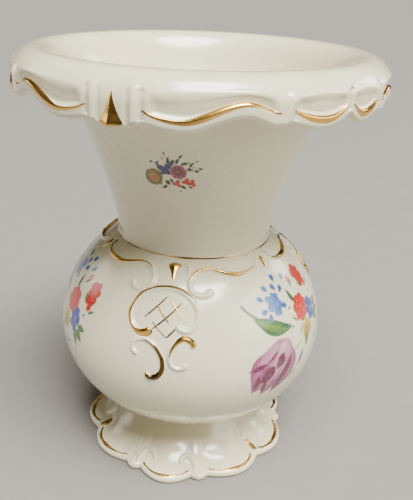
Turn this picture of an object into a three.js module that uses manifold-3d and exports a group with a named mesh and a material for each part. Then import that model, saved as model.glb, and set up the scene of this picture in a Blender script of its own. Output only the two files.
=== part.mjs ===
// A gilded porcelain flower vase: spreading scalloped foot, globe bowl, flaring neck and a rolled
// lip with a hanging scalloped skirt. Relief scrolls and gilding repeat three times round it.
// Millimetres, +Z up. The origin is the centre of the foot ring's underside, and the front faces -Y.
// Places on the surface are written as [degrees round the axis from the front, height z].

import * as THREE from "three";
import { ParametricGeometry } from "three/addons/geometries/ParametricGeometry.js";
import { mergeVertices } from "three/addons/utils/BufferGeometryUtils.js";
import Module from "manifold-3d";

// ---- Driving dimensions ----
const HEIGHT = 220; // foot ring to the crest of the lip
const WALL = 3.6; // the cast wall
const GAP = 0.3; // left open between pieces that touch

const REPEATS = 3; // the ornament comes round three times
const SIDES = ["front", "right", "back_left"]; // one name for each repeat

const FOOT_RING_R = 57.6; // mean outer radius of the foot ring
const FOOT_TOP_Z = 23.5; // where the foot meets the bowl
const FOOT_FLAT_R = 48.5; // inner radius of the flat ring that the vase stands on
const FOOT_BEAD = 1.9; // radius of the bead along the foot's edge

const BOWL_R = 72; // widest radius of the globe
const BOWL_Z = 72.8; // height of the widest ring
const BOWL_UP = 63.3; // half-axis of the upper ellipse
const BOWL_DOWN = 55.6; // half-axis of the lower ellipse

const WAIST_Z = 125.4; // the bowl ends and the neck begins
const NECK_TOP_Z = 202.4;
const NECK_TOP_R = 67.1;
const NECK_SAG = 3.7; // how far the neck's side is hollowed at mid height

const CREST_R = 79.4; // radius of the lip's highest ring
const SKIRT_R = 91.2; // the lip's widest radius, at the top of the skirt
const SKIRT_TOP_Z = 207;
const SKIRT_Z = 198; // mean height of the skirt's lower edge
const SKIRT_WALL = 4.4; // the skirt's rounded edge is thicker than the wall

const RIM_CENTRE = -12; // degrees from the front to the rim's gilded wedge
const RELIEF = 1.1; // height of a relief scroll above the wall
const GILDING = 0.25; // thickness of a brushed gold line

// How far the skirt's edge stands above its mean height, by degrees from the wedge.
const SKIRT_EDGE = [[0, -0.4], [8, 2], [17.5, 0], [33, 6.2], [42, 2.8], [53, 0.7], [60, 5.6]];
// How far the skirt is pressed in, by degrees from the wedge.
const SKIRT_PRESS = [[0, 0.2], [8, 1.1], [20, 0], [42, 1.1], [51, 0], [60, 1.1]];
// How far the foot's edge stands out from its mean radius, by degrees from the front.
const FOOT_EDGE = [[0, 4.2], [15, -1.2], [19, 0.4], [25, -1.6], [43, 2.3], [60, -2]];

// ---- Surfaces ----
const radians = THREE.MathUtils.degToRad;
const lerp = THREE.MathUtils.lerp;
const smoothstep = THREE.MathUtils.smoothstep;

// Degrees from the nearest repeat of a motif, the same on its left and its right.
function fromRepeat(theta, centre) {
  const span = 360 / REPEATS;
  return Math.abs(THREE.MathUtils.euclideanModulo(theta - centre + span / 2, span) - span / 2);
}

// A smooth line through a list of [angle, value], level at each point of the list.
function wave(points, angle) {
  const next = Math.max(1, points.findIndex(([at]) => at >= angle));
  const [fromAngle, from] = points[next - 1];
  const [toAngle, to] = points[next];
  return lerp(from, to, smoothstep(angle, fromAngle, toAngle));
}

// The foot spreads like a trumpet: a quarter ellipse that leaves the bowl upright.
function footRadius(theta, z) {
  const down = THREE.MathUtils.clamp(1 - z / FOOT_TOP_Z, 0, 1);
  const spread = lerp(1 - Math.sqrt(1 - down * down), down, 0.45);
  const edge = wave(FOOT_EDGE, fromRepeat(theta, 0)) * smoothstep(down, 0.2, 1);
  return bowlRadius(theta, FOOT_TOP_Z) + (FOOT_RING_R - bowlRadius(theta, FOOT_TOP_Z)) * spread + edge;
}

// The globe is two half ellipses that share their widest ring.
function bowlRadius(theta, z) {
  const half = z > BOWL_Z ? BOWL_UP : BOWL_DOWN;
  return BOWL_R * Math.sqrt(1 - ((z - BOWL_Z) / half) ** 2);
}

const WAIST_R = bowlRadius(0, WAIST_Z);

// The neck flares in a line that sags inwards like a parabola.
function neckRadius(theta, z) {
  const up = (z - WAIST_Z) / (NECK_TOP_Z - WAIST_Z);
  return lerp(WAIST_R, NECK_TOP_R, up) - 4 * NECK_SAG * up * (1 - up);
}

// The skirt hangs from the lip; its edge rises and falls, and it is pressed in at the notches.
const FIXED_Z = 214; // above this ring the lip is plain and round

function skirtPlace(theta, r, z) {
  const angle = fromRepeat(theta, RIM_CENTRE);
  const share = r > CREST_R - 8 ? 1 - smoothstep(z, SKIRT_Z, FIXED_Z) : 0;
  return [r - wave(SKIRT_PRESS, angle) * share, z + wave(SKIRT_EDGE, angle) * share];
}

function skirtRadius(theta, z) {
  const rise = wave(SKIRT_EDGE, fromRepeat(theta, RIM_CENTRE));
  const unlifted = z - rise * (1 - smoothstep(z - rise / 2, SKIRT_Z, FIXED_Z));
  const drop = THREE.MathUtils.clamp((unlifted - SKIRT_TOP_Z) / (HEIGHT - SKIRT_TOP_Z), 0, 1);
  const plain = CREST_R + (SKIRT_R - CREST_R) * Math.sqrt(1 - drop * drop);
  return skirtPlace(theta, plain, unlifted)[0];
}

// The point of a surface at an angle and a height.
function place(surface, theta, z) {
  const r = surface(theta, z);
  return new THREE.Vector3(r * Math.sin(radians(theta)), -r * Math.cos(radians(theta)), z);
}

function outward(surface, theta, z) {
  const round = place(surface, theta + 0.5, z).sub(place(surface, theta - 0.5, z));
  const up = place(surface, theta, z + 0.1).sub(place(surface, theta, z - 0.1));
  return round.cross(up).normalize();
}

// ---- Solids ----
const porcelain = () => new THREE.MeshStandardMaterial({ color: 0xe6dfc6, roughness: 0.14, metalness: 0 });
const gold = () => new THREE.MeshStandardMaterial({ color: 0xb98a2e, roughness: 0.22, metalness: 1 });

const vase = new THREE.Group();

function add(name, geometry, material) {
  const mesh = new THREE.Mesh(geometry, material);
  mesh.name = name;
  vase.add(mesh);
}

// Joins vertices at the same place and drops the triangles that close up to nothing at a pole.
function welded(geometry) {
  const bare = geometry.clone();
  bare.deleteAttribute("normal");
  bare.deleteAttribute("uv");
  const merged = mergeVertices(bare, 1e-3);
  const kept = [];
  for (let i = 0; i < merged.index.count; i += 3) {
    const [a, b, c] = merged.index.array.slice(i, i + 3);
    if (a !== b && b !== c && c !== a) kept.push(a, b, c);
  }
  merged.setIndex(kept);
  merged.computeVertexNormals();
  return merged;
}

// A ring turned from a closed section of [r, z] points; shape moves each point by its angle.
function turned(section, segments, shape = (theta, r, z) => [r, z]) {
  const points = [...section, section[0]].map(([r, z]) => new THREE.Vector2(r, z));
  const geometry = new THREE.LatheGeometry(points, segments).rotateX(Math.PI / 2);
  const position = geometry.getAttribute("position");
  for (let i = 0; i < position.count; i++) {
    const x = position.getX(i);
    const y = position.getY(i);
    const angle = Math.atan2(x, -y);
    const [r, z] = shape(THREE.MathUtils.radToDeg(angle), Math.hypot(x, y), position.getZ(i));
    position.setXYZ(i, r * Math.sin(angle), -r * Math.cos(angle), z);
  }
  return welded(geometry);
}

// A ridge or gold line laid on a surface along a curve through [degrees, z] points.
// Its section is a low dome on a flat base. It swells from one tip to the other: blunt = 0 gives
// the long points of a brush stroke, and blunt = 1 an even line with short ends. lift is the gap
// under it, which is larger over the lobed foot and skirt, whose own facets are coarser.
function stroke(surface, points, size) {
  const { width, height, blunt = 0.5, stacks = 8, lift = GAP } = size;
  const path = new THREE.SplineCurve(points.map(([theta, z]) => new THREE.Vector2(theta, z)));
  const fullness = (v) => (4 * v * (1 - v)) ** lerp(1, 0.15, blunt);
  return (side = 0) =>
    welded(
      new ParametricGeometry(
        (u, v, target) => {
          const here = path.getPoint(v);
          const before = path.getPoint(Math.max(0, v - 0.01));
          const after = path.getPoint(Math.min(1, v + 0.01));
          const normal = outward(surface, here.x + side, here.y);
          const along = place(surface, after.x + side, after.y);
          along.sub(place(surface, before.x + side, before.y)).normalize();
          const across = new THREE.Vector3().crossVectors(normal, along).normalize();
          const turn = 2 * Math.PI * u;
          const full = fullness(v);
          target.copy(place(surface, here.x + side, here.y));
          target.addScaledVector(across, 0.5 * width * full * Math.cos(turn));
          target.addScaledVector(normal, lift + height * full * Math.max(0, Math.sin(turn)));
        },
        6,
        stacks,
      ),
    );
}

// Adds the same stroke once for each repeat of the ornament.
function addRepeats(name, makeStroke, material) {
  SIDES.forEach((side, k) => add(`${name}_${side}`, makeStroke((k * 360) / REPEATS), material()));
}

// Left and right copies of a list of places, mirrored about the middle of the motif.
const mirrored = (points, middle = 0) => points.map(([theta, z]) => [2 * middle - theta, z]);

// ---- Foot: an open collar, hollow underneath, that the bowl stands on ----
function footSection() {
  const top = FOOT_TOP_Z - GAP;
  const outer = [top, 19, 15, 11, 7.5, 2 * FOOT_BEAD + 0.8].map((z) => [footRadius(30, z), z]);
  const ring = footRadius(30, 0);
  const bead = [[ring, FOOT_BEAD * 1.6], [ring + 0.2, FOOT_BEAD], [ring - 1.2, 0]];
  const inner = [[FOOT_FLAT_R, 0], [FOOT_FLAT_R - 2, 3], [39, 10], [31.5, 17], [29.6, top]];
  return [...outer, ...bead, ...inner].reverse();
}

function footShape(theta, r, z) {
  const edge = footRadius(theta, z) - footRadius(30, z);
  const share = smoothstep(r, FOOT_FLAT_R + 1, footRadius(30, z) - 1.5);
  return [r + edge * (z < 4 ? share : r > 0.9 * footRadius(30, z) ? 1 : 0), z];
}

add("foot", turned(footSection(), 90, footShape), porcelain());

// ---- Bowl: a globe with a closed floor, open at the waist ----
function bowlSection() {
  const top = WAIST_Z - GAP;
  const floor = FOOT_TOP_Z + WALL;
  const shrink = (BOWL_R - WALL) / BOWL_R;
  const outer = [FOOT_TOP_Z, 32, 44, 58, BOWL_Z, 87, 100, 111, 119, top].map((z) => [bowlRadius(0, z), z]);
  const heights = [top, 112, 98, BOWL_Z, 50, 34];
  const inner = heights.map((z) => [bowlRadius(0, z) * shrink - (z > 110 ? 0.8 : 0), z]);
  return [[0, FOOT_TOP_Z], ...outer, ...inner, [28, floor + 0.6], [0, floor]];
}

add("bowl", turned(bowlSection(), 60), porcelain());

// ---- Neck: a flaring tube ----
function neckSection() {
  const bottom = WAIST_Z + GAP;
  const top = NECK_TOP_Z - GAP;
  const outer = [bottom, 140, 155, 171, 187, top].map((z) => [neckRadius(0, z), z]);
  const inner = [top, 178, 150, bottom].map((z) => [neckRadius(0, z) - WALL, z]);
  return [...outer, ...inner];
}

add("neck", turned(neckSection(), 60), porcelain());

// ---- Rim: the mouth rolls outwards over a crest and hangs as a skirt ----
function rimSection() {
  const bottom = NECK_TOP_Z + GAP;
  const inside = new THREE.CubicBezierCurve(
    new THREE.Vector2(NECK_TOP_R - WALL, bottom),
    new THREE.Vector2(NECK_TOP_R - WALL + 4.5, bottom + 9),
    new THREE.Vector2(CREST_R - 9, HEIGHT),
    new THREE.Vector2(CREST_R, HEIGHT),
  );
  const out = SKIRT_R - CREST_R;
  const outside = new THREE.EllipseCurve(CREST_R, SKIRT_TOP_Z, out, HEIGHT - SKIRT_TOP_Z, Math.PI / 2, 0, true);
  const skirt = [[SKIRT_R, SKIRT_Z + 2.6], [SKIRT_R - 0.8, SKIRT_Z + 0.6], [SKIRT_R - 2.4, SKIRT_Z]];
  const under = [
    [SKIRT_R - SKIRT_WALL, SKIRT_Z + 1.4],
    [SKIRT_R - SKIRT_WALL - 0.6, SKIRT_Z + 6],
    [CREST_R - 1, SKIRT_Z + 11],
    [NECK_TOP_R + 2.5, bottom + 2.2],
    [NECK_TOP_R, bottom],
  ];
  const curve = [...inside.getPoints(4), ...outside.getPoints(4).slice(1)].map((p) => [p.x, p.y]);
  return [...curve, ...skirt, ...under].reverse();
}

add("rim", turned(rimSection(), 90, skirtPlace), porcelain());

// ---- Relief on the shoulder and the bowl ----
const ridge = { width: 2.6, height: RELIEF, blunt: 0.6, stacks: 10 };

const ARCH = [
  [-5.8, 97.8], [-9.9, 96.4], [-14.4, 99.5], [-16.2, 104.5], [-13, 111.4], [-6, 114.4],
  [3, 115], [10.6, 112.2], [14.7, 107], [13.4, 101.3], [9.5, 98.7], [6.2, 100],
];
const SCROLL = [
  [51.5, 123], [53, 121.4], [48.5, 119.8], [38.6, 119.2], [30.9, 120.2],
  [21, 121.6], [12.8, 120.4], [9.6, 116.5], [13.5, 112.8], [20.5, 114],
];
const LOWER_LEFT = [
  [-10, 85.8], [-12.2, 89], [-8.5, 92.7], [-4, 91.7],
  [0.9, 82.5], [-1, 76], [-4.4, 75], [-6, 77.2],
];
const LOWER_RIGHT = [
  [12.2, 91.6], [10.9, 94.9], [8.4, 95.4], [5.2, 92.6],
  [3.1, 87], [3.9, 82.9], [7.7, 81.1], [9.5, 84],
];

addRepeats("cartouche_arch", stroke(bowlRadius, ARCH, { ...ridge, stacks: 14 }), porcelain);
addRepeats("shoulder_scroll_right", stroke(bowlRadius, SCROLL, ridge), porcelain);
addRepeats("shoulder_scroll_left", stroke(bowlRadius, mirrored(SCROLL), ridge), porcelain);
addRepeats("lower_scroll_left", stroke(bowlRadius, LOWER_LEFT, ridge), porcelain);
addRepeats("lower_scroll_right", stroke(bowlRadius, LOWER_RIGHT, ridge), porcelain);

// ---- Gilding on the shoulder and the bowl ----
const BELL = [[0, 123.2], [0.3, 120.4], [0.7, 117.4]];
const TICK = [[59.5, 122.8], [60, 120.6], [60.4, 118.4]];

addRepeats("bell_drop", stroke(bowlRadius, BELL, { width: 5, height: RELIEF, blunt: 0.5, stacks: 6 }), gold);
addRepeats("shoulder_tick", stroke(bowlRadius, TICK, { width: 1.6, height: GILDING, stacks: 4 }), gold);

// Diamond lattice inside the arch: two sets of gold lines, joined where they cross.
const LATTICE = { top: [-0.5, 111], left: [-8.3, 102], bottom: [1.2, 95.6], right: [7.6, 104.3] };
const LATTICE_LINES = 3; // each way
const LATTICE_END = 0.1; // how far each line runs on past the diamond, as a share of its side

const wasm = await Module();
wasm.setup();

function solidOf(geometry) {
  const vertProperties = geometry.getAttribute("position").array;
  const triVerts = new Uint32Array(geometry.index.array);
  return new wasm.Manifold(new wasm.Mesh({ numProp: 3, vertProperties, triVerts }));
}

function geometryOf(solid) {
  const { vertProperties, triVerts } = solid.getMesh();
  const geometry = new THREE.BufferGeometry();
  geometry.setAttribute("position", new THREE.BufferAttribute(vertProperties, 3));
  geometry.setIndex(new THREE.BufferAttribute(triVerts, 1));
  geometry.computeVertexNormals();
  return geometry;
}

const between = (a, b, share) => [lerp(a[0], b[0], share), lerp(a[1], b[1], share)];

function lattice(side) {
  const { top, left, bottom, right } = LATTICE;
  const size = { width: 0.75, height: GILDING, blunt: 1, stacks: 4 };
  const lines = [];
  for (let k = 0; k < LATTICE_LINES; k++) {
    const share = k / (LATTICE_LINES - 1);
    const leftward = [between(top, left, share), between(right, bottom, share)];
    const rightward = [between(top, right, share), between(left, bottom, share)];
    for (const [a, b] of [leftward, rightward]) {
      lines.push([between(a, b, -LATTICE_END), between(a, b, 1 + LATTICE_END)]);
    }
  }
  const solids = lines.map((ends) => solidOf(stroke(bowlRadius, ends, size)(side)));
  return geometryOf(solids.reduce((joined, next) => joined.add(next)));
}

addRepeats("cartouche_lattice", lattice, gold);

// A gold line rings the joint of bowl and neck.
function waistLine() {
  const half = 0.55;
  const inner = bowlRadius(0, WAIST_Z - half) + GAP;
  return turned([[inner, WAIST_Z - half], [inner + GILDING + 0.2, WAIST_Z], [inner, WAIST_Z + half]], 60);
}

add("waist_gold_line", waistLine(), gold());

// ---- Gilding on the rim: a wedge, a scallop on each side of it and a double swag between ----
const LOBED_LIFT = 2 * GAP;
const line = { width: 1.7, height: GILDING, blunt: 0.3, stacks: 10, lift: LOBED_LIFT };
const RIM_WEDGE = [[0, 199.8], [0, 206], [0, 212]];
const RIM_SCALLOP = [[8, 205.8], [17, 202.6], [27, 207.4], [34, 210], [41, 206.5]];
const RIM_SWAG = [[43, 206], [52, 202.4], [59, 207.5], [61, 207.5], [68, 202.4], [77, 206]];
const fromWedge = (points) => points.map(([theta, z]) => [theta + RIM_CENTRE, z]);

addRepeats("rim_wedge", stroke(skirtRadius, fromWedge(RIM_WEDGE), { ...line, width: 5, stacks: 6 }), gold);
addRepeats("rim_scallop_right", stroke(skirtRadius, fromWedge(RIM_SCALLOP), line), gold);
addRepeats("rim_scallop_left", stroke(skirtRadius, fromWedge(mirrored(RIM_SCALLOP)), line), gold);
addRepeats("rim_swag", stroke(skirtRadius, fromWedge(RIM_SWAG), { ...line, stacks: 14 }), gold);

// ---- Gilding on the foot: a line inside each lobe's edge, and a dash at the notch between repeats ----
const LOBE_Z = 4.6; // height of the gold line along the foot's edge
const lobeLine = (from, to) => [0, 0.25, 0.5, 0.75, 1].map((share) => [lerp(from, to, share), LOBE_Z]);
const DASH = [[60, 5], [60, 9], [60, 13]];

addRepeats("foot_gold_centre", stroke(footRadius, lobeLine(-14, 14), line), gold);
addRepeats("foot_gold_right", stroke(footRadius, lobeLine(26, 57), line), gold);
addRepeats("foot_gold_left", stroke(footRadius, lobeLine(-26, -57), line), gold);
addRepeats("foot_dash", stroke(footRadius, DASH, { ...line, stacks: 4 }), gold);

export default vase;
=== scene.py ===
# %% [markdown]
# # A gilded porcelain flower vase
#
# The vase has a spreading lobed foot, a globe bowl, a flaring neck and a lip that rolls outwards and
# hangs down as a scalloped skirt. Low relief scrolls and brushed gold repeat three times round it, and
# printed flower sprays sit between them.
#
# Every surface here is a formula worked out on a grid with numpy. That suits thrown and cast
# porcelain: its body is a turned shape, and its ornament follows that shape closely. Shapes are worked
# out in millimetres, because that is how a potter measures, and turned into metres in one place.

# %% Load the frame and read the sizes it fixes
import math

import bpy
import numpy as np
from mathutils import Matrix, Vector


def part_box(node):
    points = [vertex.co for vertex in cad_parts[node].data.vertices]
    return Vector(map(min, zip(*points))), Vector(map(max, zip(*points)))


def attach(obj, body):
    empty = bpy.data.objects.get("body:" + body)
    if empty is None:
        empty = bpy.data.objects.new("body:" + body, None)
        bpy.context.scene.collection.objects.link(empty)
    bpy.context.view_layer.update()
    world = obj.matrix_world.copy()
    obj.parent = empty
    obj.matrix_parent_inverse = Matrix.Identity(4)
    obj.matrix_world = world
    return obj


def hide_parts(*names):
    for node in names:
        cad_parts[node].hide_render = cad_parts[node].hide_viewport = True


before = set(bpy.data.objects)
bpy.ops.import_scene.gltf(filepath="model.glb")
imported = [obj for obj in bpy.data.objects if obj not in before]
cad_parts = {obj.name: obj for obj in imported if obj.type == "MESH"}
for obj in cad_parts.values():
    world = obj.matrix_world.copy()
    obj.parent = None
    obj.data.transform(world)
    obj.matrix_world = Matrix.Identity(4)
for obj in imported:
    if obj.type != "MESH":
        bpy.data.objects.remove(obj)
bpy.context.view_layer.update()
MM = 0.001
SEAM = 0.3  # half of the gap that the frame leaves between two pieces


def frame_mm(node, corner, axis):
    """One side of a frame node's box, in millimetres: corner 0 is the low one and 1 the high one."""
    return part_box(node)[corner][axis] / MM


HEIGHT = frame_mm("rim", 1, 2)
FOOT_TOP_Z = frame_mm("bowl", 0, 2)
BOWL_R = frame_mm("bowl", 1, 0)
WAIST_Z = frame_mm("bowl", 1, 2) + SEAM
NECK_TOP_Z = frame_mm("neck", 1, 2) + SEAM
print(f"height {HEIGHT:.1f}, bowl radius {BOWL_R:.1f} mm")
print(f"waist at {WAIST_Z:.1f}, neck ends at {NECK_TOP_Z:.1f} mm")

# %% [markdown]
# ## A skin over a grid of points
#
# A piece could be built from extrusions or by sculpting. Here each piece is a grid: rows run along its
# section and columns run round it. The columns always close on themselves. The rows either close too,
# which makes a ring such as the neck, or end in two points, which makes a closed pod such as a ridge.
# Either way the surface has no open edge. The enclosed volume tells which way the faces point, so a
# grid that came out inside out is turned round.

# %% Build a closed mesh from a grid
CREASE_DEG = 50  # edges that turn more sharply than this stay crisp


def grid_faces(rows, cols, ring):
    """Corner numbers and corner UVs of the faces: cell (i, j) joins rows i, i+1 and columns j, j+1."""
    i, j = np.meshgrid(np.arange(rows if ring else rows - 1), np.arange(cols), indexing="ij")
    i, j = i.ravel(), j.ravel()
    below, beside = (i + 1) % rows, (j + 1) % cols
    quads = np.stack([i * cols + j, i * cols + beside, below * cols + beside, below * cols + j], axis=1)
    across = np.stack([j, j + 1, j + 1, j], axis=1) / cols
    along = np.stack([i, i, i + 1, i + 1], axis=1) / (rows if ring else rows - 1)
    return quads, np.stack([across, along], axis=2)


def cap_faces(rows, cols):
    """Triangles that close the first and last row to the two extra points after the grid."""
    j = np.arange(cols)
    beside = (j + 1) % cols
    last = (rows - 1) * cols
    start = np.stack([beside, j, np.full(cols, rows * cols)], axis=1)
    end = np.stack([last + j, last + beside, np.full(cols, rows * cols + 1)], axis=1)
    across = np.concatenate([np.stack([j + 1, j, j], axis=1), np.stack([j, j + 1, j], axis=1)]) / cols
    along = np.repeat([0.0, 1.0], cols)[:, None] * np.ones(3)
    return np.vstack([start, end]), np.stack([across, along], axis=2)


def signed_volume(points, faces):
    """Sum over the faces' triangles of a . (b x c) / 6, positive when the faces point outwards."""
    total = 0.0
    for k in range(1, faces.shape[1] - 1):
        a, b, c = points[faces[:, 0]], points[faces[:, k]], points[faces[:, k + 1]]
        total += np.einsum("ij,ij->i", a, np.cross(b, c)).sum() / 6
    return total


def mesh_object(name, points, face_sets, uv_sets):
    """Puts points in metres and sets of equal-sided faces into a new smooth-shaded object."""
    mesh = bpy.data.meshes.new(name)
    corners = np.concatenate([faces.ravel() for faces in face_sets])
    sides = np.concatenate([np.full(len(faces), faces.shape[1]) for faces in face_sets])
    mesh.vertices.add(len(points))
    mesh.vertices.foreach_set("co", points.astype(np.float32).ravel())
    mesh.loops.add(len(corners))
    mesh.loops.foreach_set("vertex_index", corners.astype(np.int32))
    mesh.polygons.add(len(sides))
    mesh.polygons.foreach_set("loop_start", (np.cumsum(sides) - sides).astype(np.int32))
    layer = mesh.uv_layers.new(name="surface")
    layer.data.foreach_set("uv", np.concatenate([uv.ravel() for uv in uv_sets]).astype(np.float32))
    mesh.update(calc_edges=True)
    mesh.validate()
    mesh.shade_smooth()
    mesh.set_sharp_from_angle(angle=math.radians(CREASE_DEG))
    piece = bpy.data.objects.new(name, mesh)
    bpy.context.scene.collection.objects.link(piece)
    return piece


def close_grid(grid, ring):
    """Points, faces and UVs of one closed skin over a (rows, columns, 3) grid in millimetres."""
    rows, cols = grid.shape[:2]
    points = grid.reshape(-1, 3) * MM
    quads, quad_uv = grid_faces(rows, cols, ring)
    faces, uvs = [quads], [quad_uv]
    if not ring:
        points = np.vstack([points, points[:cols].mean(0), points[-cols:].mean(0)])
        caps, cap_uv = cap_faces(rows, cols)
        faces.append(caps)
        uvs.append(cap_uv)
    if sum(signed_volume(points, f) for f in faces) < 0:
        faces = [f[:, ::-1] for f in faces]
        uvs = [uv[:, ::-1] for uv in uvs]
    return points, faces, uvs


def skin(name, *grids, ring=False):
    """Covers each grid with a closed skin and puts them all into one object."""
    points, faces, uvs, count = [], [], [], 0
    for grid in grids:
        new_points, new_faces, new_uvs = close_grid(grid, ring)
        points.append(new_points)
        faces += [f + count for f in new_faces]
        uvs += new_uvs
        count += len(new_points)
    return mesh_object(name, np.vstack(points), faces, uvs)


# %% [markdown]
# ## The turned profile
#
# On the wheel or in the mould the body is a surface of revolution, so each part of it only needs a
# radius for every height. The globe is two half ellipses that share their widest ring. The neck is a
# cone whose side sags inwards like a hanging chain, with a small fillet where it meets the shoulder.

# %% Radii of the bowl and the neck
WALL = 3.6  # the cast wall
BOWL_Z = 0.331 * HEIGHT  # height of the widest ring
BOWL_UP = 0.2877 * HEIGHT  # half-axis above it
BOWL_DOWN = 0.2527 * HEIGHT  # half-axis below it
NECK_TOP_R = 0.305 * HEIGHT
NECK_SAG = 3.7  # how far the neck's side is hollowed at mid height
FILLET = 1.0  # how far the neck spreads where it meets the shoulder
FILLET_RISE = 1.6  # height over which that dies away


def bowl_radius(z):
    """Ellipse: widest radius times sqrt(1 - (distance from the widest ring / half-axis) squared)."""
    half = np.where(z > BOWL_Z, BOWL_UP, BOWL_DOWN)
    return BOWL_R * np.sqrt(np.clip(1 - ((z - BOWL_Z) / half) ** 2, 0, 1))


WAIST_R = float(bowl_radius(np.array(WAIST_Z)))


def neck_radius(z):
    """Straight flare, less a parabola that is deepest at mid height, plus a fillet that dies away upwards."""
    up = (z - WAIST_Z) / (NECK_TOP_Z - WAIST_Z)
    flare = WAIST_R + (NECK_TOP_R - WAIST_R) * up - 4 * NECK_SAG * up * (1 - up)
    return flare + FILLET * np.exp(-np.clip(z - WAIST_Z, 0, None) / FILLET_RISE)


def around(theta, r, z):
    """Point at an angle from the front, a radius and a height: (r sin, -r cos, z)."""
    turn = np.radians(theta)
    return np.stack(np.broadcast_arrays(r * np.sin(turn), -r * np.cos(turn), z), axis=-1)


def bowl_surface(theta, z):
    return around(theta, bowl_radius(z), z)


def neck_surface(theta, z):
    return around(theta, neck_radius(z), z)


print(f"waist radius {WAIST_R:.1f}, neck top radius {NECK_TOP_R:.1f} mm")

# %% Spin a section into a ring or a pot
ROUND = 360  # columns in a plain turned piece


def spin(section, columns=ROUND):
    """Repeats each (r, z) of the section at every angle round the axis."""
    theta = np.linspace(-180, 180, columns, endpoint=False)
    return around(theta[None, :], section[:, :1], section[:, 1:])


def ellipse_heights(start, stop, count):
    """Heights between two levels of the globe at even steps of the ellipse's angle, so rows stay even."""
    def angle(z):
        return math.asin((z - BOWL_Z) / (BOWL_UP if z > BOWL_Z else BOWL_DOWN))
    steps = np.linspace(angle(start), angle(stop), count)
    return BOWL_Z + np.where(steps > 0, BOWL_UP, BOWL_DOWN) * np.sin(steps)


def bowl_section():
    """Flat underside, outer globe, cut at the waist, inner globe one wall smaller, dished floor."""
    outer_z = ellipse_heights(FOOT_TOP_Z, WAIST_Z, 110)
    outer = np.column_stack([bowl_radius(outer_z), outer_z])
    floor = FOOT_TOP_Z + WALL
    under = np.column_stack([np.linspace(1, outer[0, 0] - 1, 8), np.full(8, FOOT_TOP_Z)])
    inner_z = np.linspace(WAIST_Z, floor + 3.5, 50)
    shrink = 1 - WALL / BOWL_R * (1 + 0.6 * np.clip((inner_z - BOWL_Z) / (WAIST_Z - BOWL_Z), 0, 1))
    inner = np.column_stack([bowl_radius(inner_z) * shrink, inner_z])
    dish_r = np.linspace(inner[-1, 0] - 3, 1, 10)
    dish = np.column_stack([dish_r, floor + 3 * (dish_r / inner[-1, 0]) ** 4])
    return np.vstack([under, outer, inner, dish])


def neck_section():
    """Outer side up from the waist, and the inner side one wall smaller back down."""
    outer_z = WAIST_Z + (NECK_TOP_Z - WAIST_Z) * np.linspace(0, 1, 70) ** 1.4
    outer = np.column_stack([neck_radius(outer_z), outer_z])
    inner_z = np.linspace(NECK_TOP_Z, WAIST_Z, 40)
    up = (inner_z - WAIST_Z) / (NECK_TOP_Z - WAIST_Z)
    inner_r = WAIST_R + (NECK_TOP_R - WAIST_R) * up - 4 * NECK_SAG * up * (1 - up) - WALL
    return np.vstack([outer, np.column_stack([inner_r, inner_z])])


bowl = skin("globe_bowl", spin(bowl_section()))
neck = skin("flaring_neck", spin(neck_section()), ring=True)
print(f"bowl {len(bowl.data.polygons)} faces, neck {len(neck.data.polygons)} faces")

# %% [markdown]
# ## Scallops
#
# The lip's skirt and the foot's edge are both scalloped, three times round. An outline could be drawn
# as a curve and projected, but a list of a few angles and heights says the same thing: between two of
# them the edge follows a piece of a cosine, level at a round place and running straight into a notch.
# The pattern is the same to left and right. On the foot it is evenly spaced, and on the lip its spacing
# drifts a little, as it does on a mould that was marked out by eye.

# %% Fold angles into one repeat and draw a scalloped line
REPEATS = 3
SIDES = {"front": 0, "right": 120, "back_left": 240}


def fold(theta):
    """Degrees from the nearest repeat of a motif, the same on its left and its right."""
    span = 360 / REPEATS
    return np.abs(np.mod(theta + span / 2, span) - span / 2)


def ease(x, low, high):
    """Smooth step: 0 below low, 1 above high, and t*t*(3 - 2t) between."""
    t = np.clip((x - low) / (high - low), 0, 1)
    return t * t * (3 - 2 * t)


def bump(x, centre, width):
    """A bell, exp(-(distance / width) squared)."""
    return np.exp(-(((x - centre) / width) ** 2))


def scallop(angle, places):
    """A line through (angle, value, kind) places: cosine pieces that are level at round places only."""
    line = np.zeros_like(angle)
    for (a, low, kind_a), (b, high, kind_b) in zip(places, places[1:]):
        t = np.clip((angle - a) / (b - a), 0, 1)
        curves = {
            ("round", "round"): (1 - np.cos(np.pi * t)) / 2,
            ("notch", "round"): np.sin(np.pi * t / 2),
            ("round", "notch"): 1 - np.cos(np.pi * t / 2),
            ("notch", "notch"): t,
        }
        inside = (angle >= a) & (angle <= b)
        line = np.where(inside, low + (high - low) * curves[kind_a, kind_b], line)
    return line


# %% [markdown]
# ## The lip and its skirt
#
# The mouth rolls out over a round crest and turns down into a skirt about as tall as a finger is wide.
# The skirt's edge is a soft bead that rises and falls. Above it are shallow shell-like dishes, and
# between the dishes stand ribs and folds. Each is a small push in or out of the plain surface, so the
# whole lip is one grid: a plain section, lifted by the scalloped edge and pressed by the dishes.

# %% Skirt outline and relief as functions of angle and height
CREST_R = 0.361 * HEIGHT  # radius of the highest ring
SKIRT_R = 0.4145 * HEIGHT  # widest radius, at the top of the skirt
SKIRT_TOP_Z = 0.941 * HEIGHT
SKIRT_Z = 0.9 * HEIGHT  # mean height of the lower edge
BEAD_R = 2.3
RIM_CENTRE = -11  # degrees from the front to the gilded wedge
LIP_PATTERN = [0, 44, 60]  # degrees from the wedge as the outline below counts them
LIP_RIGHT = [0, 44, 63.5]  # where they fall to its right, because the spacing drifts
LIP_LEFT = [0, 42.5, 56.5]  # and to its left
GOLD_Z = SKIRT_Z + 4.6  # height of the gold line on the plain section

SKIRT_EDGE = [
    (0, -0.4, "round"), (8, 2.2, "notch"), (17.5, 0, "round"), (33, 6.2, "round"), (42, 2.4, "round"),
    (44.5, 3.8, "notch"), (53, 0.7, "round"), (60, 5.6, "notch"),
]


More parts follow.
